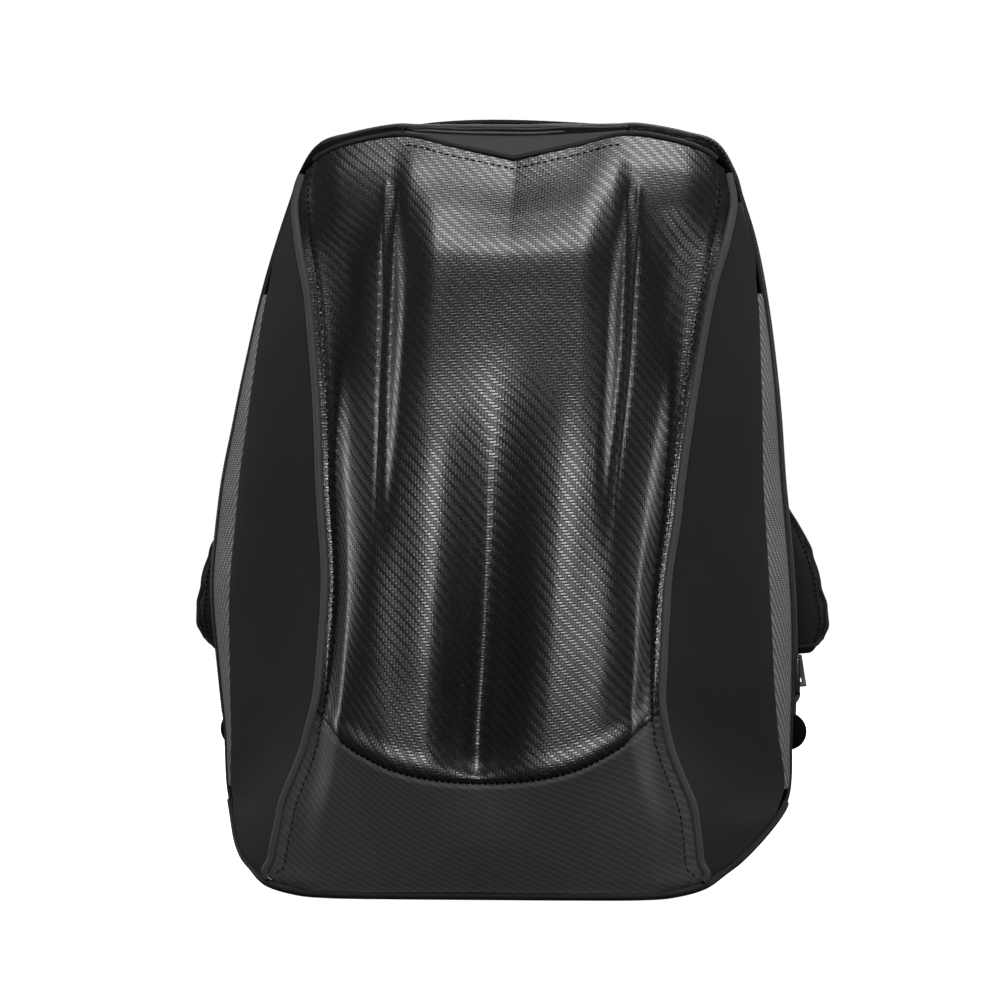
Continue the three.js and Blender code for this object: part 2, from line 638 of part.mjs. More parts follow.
/** The slider's body and pull lie on the zip's tape, at the lower right. */
function zipSlider() {
  const station = stationAt(zipFootHeight + sliderLength) * stationStep;
  const u = ringOffset(widestLine, station, zipSetback + zipWidth / 2, 1);
  const lift = zipLift + zipThickness + gap + sliderThickness / 2;
  const face = outward(ringSurface, u, station, ringLimits);
  const along = ringSurface(u, station + stationStep * 0.05).sub(ringSurface(u, station)).normalize();
  const sideways = along.clone().cross(face).normalize();
  const outline = new THREE.Shape();
  const end = sliderLength / 2 - sliderWidth / 2;
  outline.moveTo(-sliderWidth / 2, -end);
  outline.absarc(0, -end, sliderWidth / 2, Math.PI, 2 * Math.PI);
  outline.absarc(0, end, sliderWidth / 2, 0, Math.PI);
  const options = { depth: sliderThickness, bevelEnabled: false, curveSegments: 6 };
  const geometry = new THREE.ExtrudeGeometry(outline, options);
  geometry.translate(0, 0, -sliderThickness / 2);
  const middle = ringSurface(u, station).addScaledVector(face, lift);
  const turn = new THREE.Matrix4().makeBasis(sideways, along, sideways.clone().cross(along));
  geometry.applyMatrix4(turn.setPosition(middle));
  return piece('zip_slider', geometry, plasticBlack, 0.4, 0.3);
}

function pipings() {
  const pipingFoot = edgeFoot + bindingRadius;
  return sides.map(({ side, label }) => {
    const points = shares(22).map((t) => {
      const seam = shellSurface(1, referenceFor(lerp(pipingFoot, edgeTop - 2 * weltSeat, t)));
      return new THREE.Vector3(side * seam.x, seam.y, seam.z);
    });
    const curve = new THREE.CatmullRomCurve3(points);
    return piece(`piping_${label}`, cord(curve, pipingRadius, 32, 8), pipingGrey, 0.6);
  });
}

function topWelt() {
  const points = shares(24).map((t) => shellSurface(lerp(-topWeltReach, topWeltReach, t), shellTop));
  const curve = new THREE.CatmullRomCurve3(points);
  return piece('shell_top_welt', cord(curve, topWeltRadius, 36, 6), nylonBlack, 0.7);
}

/** The middle line of the foot's binding: along the shell's foot and up both lower corners. */
function bindingPoints() {
  const foot = shares(14).map((t) => {
    const point = shellSurface(lerp(-1, 1, t), shellFoot);
    return point.add(new THREE.Vector3(0, shellThickness / 2, -bindingRadius - 2 * gap));
  });
  const corner = shares(5).map((t) => ringSurface(widestLine, lerp(cornerFrom, cornerTo, t) * stationStep));
  return [...mirrored(corner).reverse(), ...foot, ...corner];
}

function baseBinding() {
  const curve = new THREE.CatmullRomCurve3(bindingPoints(), false, 'centripetal');
  return piece('base_binding', cord(curve, bindingRadius, 44, 8), nylonBlack, 0.6);
}

// The base panel keeps this far inside the binding at its front corners. The inset fades by a share of the way
// back, and the panel's sides turn up from a share of the way across.
const baseCornerInset = 3 * bindingRadius;
const baseInsetReach = 0.35;
const baseTurnFrom = 0.6;

/** The underside: it keeps inside the binding in front, and its corners turn up under the gusset's foot. */
function basePanel() {
  const rows = shares(4);
  const columns = shares(14).map((t) => lerp(-1, 1, t));
  const frontEdge = (share) => shellSurface(share, shellFoot).y + shellThickness / 2 + bindingRadius + 2 * gap;
  const grid = (height) => rows.map((q) => columns.map((p) => {
    const side = ringSurface(lerp(widestLine, 1, q), 0);
    const front = ringSurface(widestLine, 0);
    const back = ringSurface(1, 0);
    const inset = lerp(baseCornerInset, gap, smoothstep(q, 0, baseInsetReach));
    const y = lerp(frontEdge(p), -gap, (side.y - front.y) / (back.y - front.y));
    const lift = (side.z - shellFoot) * smoothstep(Math.abs(p), baseTurnFrom, 1);
    return new THREE.Vector3(p * (side.x - inset), y, height + lift);
  }));
  return piece('base_panel', slab(grid(0), grid(basePanelThickness)), nylonBlack, 0.7);
}

/** The height of the ring's rear edge over the back panel, at a distance from the middle. */
function rearTopHeight(x) {
  let low = shoulderStation;
  let high = topStationLast;
  for (let round = 0; round < 30; round += 1) {
    const between = (low + high) / 2;
    if (ringSurface(1, between * stationStep).x > x) low = between;
    else high = between;
  }
  return ringSurface(1, high * stationStep).z;
}

/** The back panel's face fills the ring's rear edge, with its own edges kept inside the gusset's wall. */
function backPanel() {
  const seat = nylonThickness + 5 * gap;
  const rows = shares(16);
  const columns = shares(12).map((t) => lerp(-1, 1, t));
  const topCorner = ringSurface(1, shoulderStation * stationStep);
  const grid = (depth, inset) => rows.map((q) => columns.map((p) => {
    const corner = ringSurface(1, shoulderStation * q * stationStep);
    const x = p * (corner.x - seat - inset);
    const lift = (rearTopHeight(Math.abs(x)) - topCorner.z) * smoothstep(q, 0.6, 1);
    return new THREE.Vector3(x, -depth, corner.z + lift - (seat + inset) * smoothstep(q, 0.9, 1));
  }));
  return piece('back_panel', slab(grid(0, 0), grid(backPanelThickness, 1)), nylonBlack, 0.8);
}

function grabHandle() {
  const endStations = [2.8, 3.2, 3.6];
  const seats = endStations.flatMap((station) =>
    shares(40).map((t) => ringSurface(lerp(widestLine, 1, t), (shoulderStation + station) * stationStep)));
  const under = seats.filter((p) => p.y > -handleWidth - 2 * gap).map((p) => p.z);
  const bottom = Math.max(...under) + gap;
  const curve = (t) => {
    const x = lerp(-handleSpan / 2, handleSpan / 2, t);
    return new THREE.Vector3(x, -handleWidth / 2 - gap, bottom + handleRise * Math.sin(Math.PI * t));
  };
  const ring = (t) => {
    const middle = curve(t);
    const hw = handleWidth / 2;
    return [[-hw, 0], [hw, 0], [hw, handleThickness], [-hw, handleThickness]].map(([y, z]) =>
      new THREE.Vector3(middle.x, middle.y + y, middle.z + z));
  };
  return piece('grab_handle', loft(ring, shares(16)), nylonBlack, 0.7);
}

/** The frame of a strap at a share of its route: its middle, the way it runs and the way its face looks. */
function strapFrame(t) {
  const column = (key, scale) => curveThrough(
    strapRoute.map((r, i) => ({ at: i / (strapRoute.length - 1), value: r[key] * scale })),
    (r) => r.at, (r) => r.value);
  const lift = gap + strapThickness / 2;
  const point = (share) => new THREE.Vector3(
    column('across', halfWidth)(share),
    lift + column('out', strapStandOff)(share),
    column('height', bodyHeight)(share));
  const step = 1e-3;
  const along = point(Math.min(t + step, 1)).sub(point(Math.max(t - step, 0))).normalize();
  const sideways = new THREE.Vector3(0, 1, 0).cross(along).normalize();
  return {
    middle: point(t),
    along,
    sideways,
    face: along.clone().cross(sideways).normalize(),
    width: column('width', strapWidth)(t),
    thickness: column('thickness', strapThickness)(t),
  };
}

// A strap narrows to these shares of its width at its top and its foot
const strapTopShare = 0.7;
const strapFootShare = 0.55;

function shoulderStrap({ side, label }) {
  const corners = 12;
  const ring = (t) => {
    const frame = strapFrame(t);
    const round = Math.min(1, strapFootShare + 6 * (1 - t), strapTopShare + 8 * t);
    return shares(corners).slice(0, corners).map((share) => {
      const turn = share * 2 * Math.PI;
      const across = Math.sign(Math.cos(turn)) * Math.abs(Math.cos(turn)) ** 0.5;
      const through = Math.sign(Math.sin(turn)) * Math.abs(Math.sin(turn)) ** 0.8;
      const point = frame.middle.clone()
        .addScaledVector(frame.sideways, across * round * frame.width / 2)
        .addScaledVector(frame.face, through * frame.thickness / 2);
      return new THREE.Vector3(side * point.x, point.y, point.z);
    });
  };
  return piece(`shoulder_strap_${label}`, loft(ring, shares(16)), nylonBlack, 0.8);
}

/** The place just past the strap's end, where the adjuster hangs. */
function lockFrame() {
  const end = strapFrame(1);
  const middle = end.middle.clone().addScaledVector(end.along, gap + lockHeight / 2);
  return { ...end, middle };
}

function ladderLock({ side, label }) {
  const outline = new THREE.Shape([
    new THREE.Vector2(-lockWidth / 2, -lockHeight / 2),
    new THREE.Vector2(lockWidth / 2, -lockHeight / 2),
    new THREE.Vector2(lockWidth / 2, lockHeight / 2),
    new THREE.Vector2(-lockWidth / 2, lockHeight / 2),
  ]);
  const slotHeight = (lockHeight - 4 * lockBar) / 3;
  const slotHalf = lockWidth / 2 - lockBar;
  for (const slot of [0, 1, 2]) {
    const low = -lockHeight / 2 + lockBar + slot * (slotHeight + lockBar);
    outline.holes.push(new THREE.Path([
      new THREE.Vector2(-slotHalf, low),
      new THREE.Vector2(-slotHalf, low + slotHeight),
      new THREE.Vector2(slotHalf, low + slotHeight),
      new THREE.Vector2(slotHalf, low),
    ]));
  }
  const geometry = new THREE.ExtrudeGeometry(outline, { depth: lockThickness, bevelEnabled: false });
  geometry.translate(0, 0, -lockThickness / 2);
  const frame = lockFrame();
  const turn = (vector) => new THREE.Vector3(side * vector.x, vector.y, vector.z);
  const along = turn(frame.along);
  const sideways = turn(frame.sideways);
  const face = sideways.clone().cross(along);
  const basis = new THREE.Matrix4().makeBasis(sideways, along, face);
  geometry.applyMatrix4(basis.setPosition(turn(frame.middle)));
  return piece(`ladder_lock_${label}`, geometry, plasticBlack, 0.45);
}

/** The middle of the anchor's tab, which lies behind the gusset's lower corner and stands out past it. */
function anchorMiddle() {
  const x = outlineHalf(anchorHeight) - backInset + anchorLength / 2 - anchorLap;
  return new THREE.Vector3(x, gap + anchorThickness / 2, anchorHeight);
}

/** The middle line of the webbing: it leaves the adjuster straight and comes down on the anchor from above. */
function webbingCurve() {
  const frame = lockFrame();
  const tilt = Math.abs(frame.sideways.z) * webbingWidth / 2;
  const start = frame.middle.clone().addScaledVector(frame.along, lockHeight / 2 + tilt + 2 * gap);
  const leaving = start.clone().addScaledVector(frame.along, webbingBend);
  const end = anchorMiddle().add(new THREE.Vector3(0, 0, anchorWidth / 2 + gap));
  const arriving = end.clone().add(new THREE.Vector3(0, 0, webbingBend));
  return new THREE.CubicBezierCurve3(start, leaving, arriving, end);
}

/** The webbing keeps its width level all the way. */
function strapWebbing({ side, label }) {
  const curve = webbingCurve();
  const sideways = new THREE.Vector3(1, 0, 0);
  const ring = (t) => {
    const middle = curve.getPoint(t);
    const face = curve.getTangent(t).cross(sideways).normalize();
    const hw = webbingWidth / 2;
    const ht = webbingThickness / 2;
    return [[-hw, -ht], [hw, -ht], [hw, ht], [-hw, ht]].map(([a, b]) => {
      const point = middle.clone().addScaledVector(sideways, a).addScaledVector(face, b);
      return new THREE.Vector3(side * point.x, point.y, point.z);
    });
  };
  return piece(`strap_webbing_${label}`, loft(ring, shares(8)), nylonBlack, 0.7);
}

function strapAnchor({ side, label }) {
  const middle = anchorMiddle();
  const outline = new THREE.Shape();
  const straight = anchorLength / 2 - anchorWidth / 2;
  outline.moveTo(-anchorLength / 2, -anchorWidth / 2);
  outline.lineTo(straight, -anchorWidth / 2);
  outline.absarc(straight, 0, anchorWidth / 2, -Math.PI / 2, Math.PI / 2);
  outline.lineTo(-anchorLength / 2, anchorWidth / 2);
  const options = { depth: anchorThickness, bevelEnabled: false, curveSegments: 8 };
  const geometry = new THREE.ExtrudeGeometry(outline, options);
  geometry.translate(0, 0, -anchorThickness / 2);
  geometry.rotateX(Math.PI / 2);
  if (side < 0) geometry.rotateZ(Math.PI);
  geometry.translate(side * middle.x, middle.y, middle.z);
  return piece(`strap_anchor_${label}`, geometry, nylonBlack, 0.7);
}

const backpack = new THREE.Group();
backpack.add(
  frontShell(),
  ...pipings(),
  topWelt(),
  ...sides.map(sidePanel),
  ...sides.map(sideBand),
  ...sides.map(shoulderYoke),
  topInsert(),
  zipFlap(),
  rearGusset(),
  mainZip(),
  zipSlider(),
  basePanel(),
  baseBinding(),
  backPanel(),
  grabHandle(),
  ...sides.map(shoulderStrap),
  ...sides.map(ladderLock),
  ...sides.map(strapWebbing),
  ...sides.map(strapAnchor),
);

/** Moves a geometry's points as the loaded body leans to the right and its front slips to the left. */
function settle(geometry) {
  const lean = curveThrough(leanRun, heightOf, (r) => r.lean * bodyLean);
  const slip = curveThrough(leanRun, heightOf, (r) => r.slip * frontSlip);
  const position = geometry.getAttribute('position');
  for (let i = 0; i < position.count; i += 1) {
    const forward = smoothstep(-position.getY(i), slipStartDepth, slipWholeDepth);
    const height = position.getZ(i);
    position.setX(i, position.getX(i) + lean(height) - forward * slip(height));
  }
}

backpack.children.forEach((mesh) => settle(mesh.geometry));

// The origin is on the floor, under the middle of everything
const box = new THREE.Box3().setFromObject(backpack);
const middle = box.getCenter(new THREE.Vector3());
backpack.position.set(-middle.x, -middle.y, -box.min.z);

export default backpack;
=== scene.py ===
"""Dresses the hard shell backpack: moulded front, cloth sides, nylon gusset, padded back and straps.

The bag's own frame has its back plane at y = 0 with the front towards -y, and its foot at z = 0. Every
piece is built there, in metres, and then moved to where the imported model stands.
"""

import logging
import math
from dataclasses import dataclass, field
from enum import Enum
from typing import Sequence

import bmesh
import bpy
import numpy as np
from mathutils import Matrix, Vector
from mathutils.bvhtree import BVHTree

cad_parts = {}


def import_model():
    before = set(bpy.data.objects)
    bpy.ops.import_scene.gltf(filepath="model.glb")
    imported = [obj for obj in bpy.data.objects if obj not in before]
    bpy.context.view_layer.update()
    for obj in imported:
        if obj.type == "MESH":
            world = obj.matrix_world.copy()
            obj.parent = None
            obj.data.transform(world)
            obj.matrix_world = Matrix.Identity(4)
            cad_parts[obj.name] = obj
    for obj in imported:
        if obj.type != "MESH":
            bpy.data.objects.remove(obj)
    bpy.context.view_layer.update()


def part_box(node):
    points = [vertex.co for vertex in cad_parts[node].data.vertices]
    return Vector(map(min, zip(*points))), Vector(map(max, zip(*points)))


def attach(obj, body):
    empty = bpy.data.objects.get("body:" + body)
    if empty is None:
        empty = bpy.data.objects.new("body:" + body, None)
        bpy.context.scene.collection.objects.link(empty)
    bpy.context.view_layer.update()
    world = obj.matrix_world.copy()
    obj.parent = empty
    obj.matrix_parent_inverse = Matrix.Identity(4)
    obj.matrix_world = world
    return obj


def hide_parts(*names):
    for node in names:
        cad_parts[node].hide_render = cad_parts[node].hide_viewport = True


LOG = logging.getLogger("backpack")
MM = 0.001

# A point inside the bag, from which its surfaces look outwards
BAG_MIDDLE = (0.0, -0.01, 0.238)

# The order of a four-sided face's points that turns it over
TURNED_OVER = [0, 3, 2, 1]

# How many frames the cover of a padded piece has to come to rest
SWELL_FRAMES = 20

Array = np.ndarray
Piece = bpy.types.Object
Material = bpy.types.Material
Socket = bpy.types.NodeSocket
Colour = tuple[float, float, float, float]


class Side(Enum):
    """The bag's two sides, seen from the front."""

    LEFT = -1
    RIGHT = 1

    @property
    def label(self) -> str:
        """The side's word in a piece's name."""
        return self.name.lower()

    @property
    def mirror(self) -> Array:
        """What a point of the right side is multiplied by to stand on this side."""
        return np.array([self.value, 1, 1])


class Coordinates(Enum):
    """What a finish's pattern follows: the cut of the sheet, or the space round the bag."""

    SHEET = "plan"
    BODY = "object"


# Curves through tables


def clamp01(value: Array) -> Array:
    """Keeps values from 0 to 1."""
    return np.clip(value, 0.0, 1.0)


def smoothstep(value: Array, low: float, high: float) -> Array:
    """Rises smoothly from 0 at low to 1 at high."""
    t = clamp01((np.asarray(value, float) - low) / (high - low))
    return t * t * (3 - 2 * t)


def ridge(distance: Array, width: float) -> Array:
    """A smooth bump of height 1 that fades at about twice its width."""
    return np.exp(-((distance / width) ** 2))


def spots(x: Array, depth: Array, z: Array) -> Array:
    """Points from how far across they stand, how far before the back plane, and how high."""
    return np.stack(np.broadcast_arrays(x, -np.asarray(depth, float), z), axis=-1)


def monotone(at: Sequence[float], values: Array, x: Array) -> Array:
    """Reads a smooth curve that never overshoots the rows it runs through.

    Args:
        at: Where each row stands.
        values: The rows' values, either one list or one list for each x.
        x: Where the curve is read.

    Returns:
        The curve's value at each x.
    """
    at = np.asarray(at, float)
    values = np.asarray(values, float)
    x = np.asarray(x, float)
    step = np.diff(at)
    slope = np.diff(values, axis=-1) / step
    product = slope[..., :-1] * slope[..., 1:]
    total = slope[..., :-1] + slope[..., 1:]
    inner = np.where(product > 0, 2 * product / np.where(total == 0, 1, total), 0.0)
    tangent = np.concatenate([slope[..., :1], inner, slope[..., -1:]], axis=-1)
    index = np.searchsorted(at[1:-1], x, side="left")

    def pick(table: Array, offset: int) -> Array:
        """Takes each x's own entry of a table."""
        if table.ndim == 1:
            return table[index + offset]
        return np.take_along_axis(table, (index + offset)[..., None], -1)[..., 0]

    width = step[index]
    t = clamp01((x - at[index]) / width)
    start, end = pick(values, 0), pick(values, 1)
    ease = t * t * (3 - 2 * t)
    lead = t * (1 - t) ** 2 * width * pick(tangent, 0)
    trail = t * t * (1 - t) * width * pick(tangent, 1)
    return start + ease * (end - start) + lead - trail


def through(points: Array, t: Array) -> Array:
    """Reads a smooth open curve through points.

    Args:
        points: One list of points (count, 3), or one list for each t (n, count, 3).
        t: Shares of the way, from 0 to 1.

    Returns:
        One point for each t.
    """
    points = np.asarray(points, float)
    t = np.asarray(t, float)
    if points.ndim == 2:
        points = np.broadcast_to(points, t.shape + points.shape)
    count = points.shape[-2]
    first = 2 * points[..., :1, :] - points[..., 1:2, :]
    last = 2 * points[..., -1:, :] - points[..., -2:-1, :]
    padded = np.concatenate([first, points, last], axis=-2)
    place = (count - 1) * t
    index = np.clip(np.floor(place).astype(int), 0, count - 2)
    w = (place - index)[..., None]
    p0, p1, p2, p3 = (
        np.take_along_axis(padded, (index + k)[..., None, None], -2)[..., 0, :] for k in range(4)
    )
    d0, d1, d2 = (
        np.maximum(np.linalg.norm(b - a, axis=-1, keepdims=True), 1e-9) ** 0.5
        for a, b in ((p0, p1), (p1, p2), (p2, p3))
    )
    lead = d1 * ((p1 - p0) / d0 - (p2 - p0) / (d0 + d1) + (p2 - p1) / d1)
    trail = d1 * ((p2 - p1) / d1 - (p3 - p1) / (d1 + d2) + (p3 - p2) / d2)
    c2 = -3 * p1 + 3 * p2 - 2 * lead - trail
    c3 = 2 * p1 - 2 * p2 + lead + trail
    return p1 + lead * w + c2 * w * w + c3 * w**3


@dataclass(frozen=True)
class SoftNoise:
    """Smooth repeatable unevenness, such as cloth and hand work leave.

    Attributes:
        seed: Picks one pattern.
    """

    seed: int

    def read(self, x: Array, y: Array) -> Array:
        """Reads the pattern.

        Args:
            x: Places across, counted in the pattern's own length.
            y: Places along, counted in the same way.

        Returns:
            Values from about -1 to 1 that change over a length of about 1.
        """
        x, y = np.broadcast_arrays(np.asarray(x, float), np.asarray(y, float))
        column, row = np.floor(x).astype(int), np.floor(y).astype(int)
        fx, fy = x - column, y - row
        fx, fy = fx * fx * (3 - 2 * fx), fy * fy * (3 - 2 * fy)

        def corner(i: Array, j: Array) -> Array:
            """Mixes the numbers of the lattice's corners into repeatable values from -1 to 1."""
            mixed = (i * 374761393 + j * 668265263 + self.seed * 982451653) & 0x7FFFFFFF
            mixed = ((mixed ^ (mixed >> 13)) * 1274126177) & 0x7FFFFFFF
            return ((mixed ^ (mixed >> 16)) & 0xFFFF) / 32767.5 - 1

        low = corner(column, row) * (1 - fx) + corner(column + 1, row) * fx
        high = corner(column, row + 1) * (1 - fx) + corner(column + 1, row + 1) * fx
        return low * (1 - fy) + high * fy


# The form of the bag


@dataclass(frozen=True)
class Table:
    """Rows of shares with a name for each column, read as smooth curves against the first one.

    Attributes:
        columns: The columns' names.
        rows: The rows, in rising order of their first value.
    """

    columns: tuple[str, ...]
    rows: tuple[tuple[float, ...], ...]

    def column(self, name: str) -> Array:
        """One column's values."""
        return np.array(self.rows)[:, self.columns.index(name)]

    def read(self, name: str, at: Array) -> Array:
        """One column's curve at shares of the first column."""
        return monotone(self.column(self.columns[0]), self.column(name), at)


PLACES = ("centre", "crest", "panel", "foot", "flank", "flange", "edge")

# Where the shell's named places stand across it, and how its top and foot edges run through them
SHELL = Table(("across", "notch", "shoulder", "lift"), (
    (0.0, 1.0, 0.0, 0.0),
    (0.3, 0.4, 0.0, 0.0),
    (0.45, 0.08, 0.0, 0.0),
    (0.58, 0.0, 0.02, 0.0),
    (0.78, 0.0, 0.24, 0.06),
    (0.92, 0.0, 0.52, 0.35),
    (1.0, 0.0, 1.0, 1.0),
))

# The shell's depth at its places, as shares of the body's depth
CHIN = Table(("height", *PLACES), (
    (0.012, 0.835, 0.835, 0.832, 0.83, 0.815, 0.77, 0.75),
    (0.08, 0.92, 0.92, 0.914, 0.908, 0.88, 0.8, 0.776),
    (0.153, 0.974, 1.0, 1.0, 0.993, 0.967, 0.836, 0.796),
))
FACE = Table(("height", *PLACES), (
    (0.153, 0.974, 1.0, 1.0, 0.993, 0.967, 0.836, 0.796),
    (0.25, 0.944, 0.995, 0.99, 0.98, 0.93, 0.79, 0.77),
    (0.42, 0.914, 0.967, 0.954, 0.94, 0.862, 0.724, 0.711),
    (0.557, 0.882, 0.921, 0.908, 0.855, 0.763, 0.671, 0.664),
    (0.651, 0.849, 0.868, 0.849, 0.757, 0.658, 0.605, 0.605),
    (0.735, 0.796, 0.803, 0.776, 0.664, 0.566, 0.546, 0.553),
    (0.83, 0.71, 0.71, 0.664, 0.579, 0.5, 0.487, 0.487),
    (0.893, 0.592, 0.592, 0.56, 0.513, 0.487, 0.454, 0.434),
    (0.945, 0.48, 0.47, 0.46, 0.44, 0.44, 0.415, 0.38),
    (0.992, 0.39, 0.36, 0.345, 0.345, 0.355, 0.35, 0.33),
))

# The silhouette, the shell's edge in it, the centre panel, and the line where the side cloth folds
SIDE = Table(("height", "outline", "edge", "panel", "fold", "fold_depth", "outline_depth"), (
    (0.01, 0.69, 0.965, 0.95, 0.5, 0.74, 0.73),
    (0.025, 0.768, 0.962, 0.94, 0.6, 0.72, 0.69),
    (0.05, 0.852, 0.855, 0.93, 0.65, 0.66, 0.59),
    (0.092, 0.93, 0.765, 0.92, 0.78, 0.54, 0.43),
    (0.13, 0.97, 0.711, 0.92, 0.95, 0.36, 0.31),
    (0.206, 0.978, 0.627, 0.92, 0.91, 0.41, 0.31),
    (0.273, 0.989, 0.589, 0.92, 0.875, 0.45, 0.31),
    (0.389, 1.0, 0.58, 0.92, 0.835, 0.475, 0.31),
    (0.494, 0.978, 0.619, 0.93, 0.82, 0.467, 0.305),
    (0.6, 0.944, 0.668, 0.95, 0.83, 0.447, 0.3),
    (0.683, 0.913, 0.718, 0.97, 0.85, 0.41, 0.29),
    (0.779, 0.868, 0.797, 0.98, 0.9, 0.33, 0.285),
    (0.857, 0.818, 0.904, 1.0, 0.8, 0.33, 0.28),
    (0.91, 0.775, 0.972, 1.0, 0.6, 0.33, 0.265),
    (0.94, 0.752, 0.978, 1.0, 0.6, 0.32, 0.25),
))

# The cloth over the shell's top edge, from the shoulder to the middle
TOP = Table(("across", "outward", "rear", "fold", "rim", "fold_depth", "rim_depth"), (
    (0.92, 1.02, 0.9, 0.2, 0.32, 0.31, 1.1),
    (0.78, 1.012, 0.93, 0.16, 0.28, 0.29, 1.04),
    (0.58, 1.006, 0.95, 0.14, 0.28, 0.29, 1.0),
    (0.45, 1.004, 0.96, 0.14, 0.3, 0.3, 1.0),
    (0.3, 1.0, 0.96, 0.34, 0.54, 0.305, 1.0),
    (0.14, 1.0, 0.96, 0.56, 0.79, 0.305, 1.0),
    (0.0, 1.0, 1.0, 0.76, 1.0, 0.305, 1.0),
))

# The loaded body's lean to the right and the slip of its front to the left
LEAN = Table(("height", "lean", "slip"), (
    (0.0, -0.35, 0.6),
    (0.05, -0.1, 0.8),
    (0.11, 0.3, 1.0),
    (0.2, 0.25, 0.95),
    (0.3, 0.0, 0.4),
    (0.42, -0.35, -0.25),
    (0.52, -0.3, -0.4),
    (0.62, 0.1, -0.3),
    (0.75, 0.55, -0.2),
    (0.87, 0.9, 0.0),
    (1.0, 1.0, 0.0),
))

# A strap's middle line from its seat under the handle to its foot, evenly spaced along it
STRAP = Table(("along", "across", "height", "out", "width", "thickness"), (
    (0.0, 0.3, 0.945, 0.0, 0.8, 0.55),
    (1 / 7, 0.33, 0.9, 0.16, 0.88, 1.0),
    (2 / 7, 0.4, 0.82, 0.52, 0.95, 1.0),
    (3 / 7, 0.51, 0.72, 0.86, 1.0, 1.0),
    (4 / 7, 0.65, 0.61, 1.0, 1.0, 1.0),
    (5 / 7, 0.79, 0.505, 0.95, 1.0, 1.0),
    (6 / 7, 0.895, 0.405, 0.74, 1.0, 1.0),
    (1.0, 0.93, 0.297, 0.5, 0.94, 0.8),
))


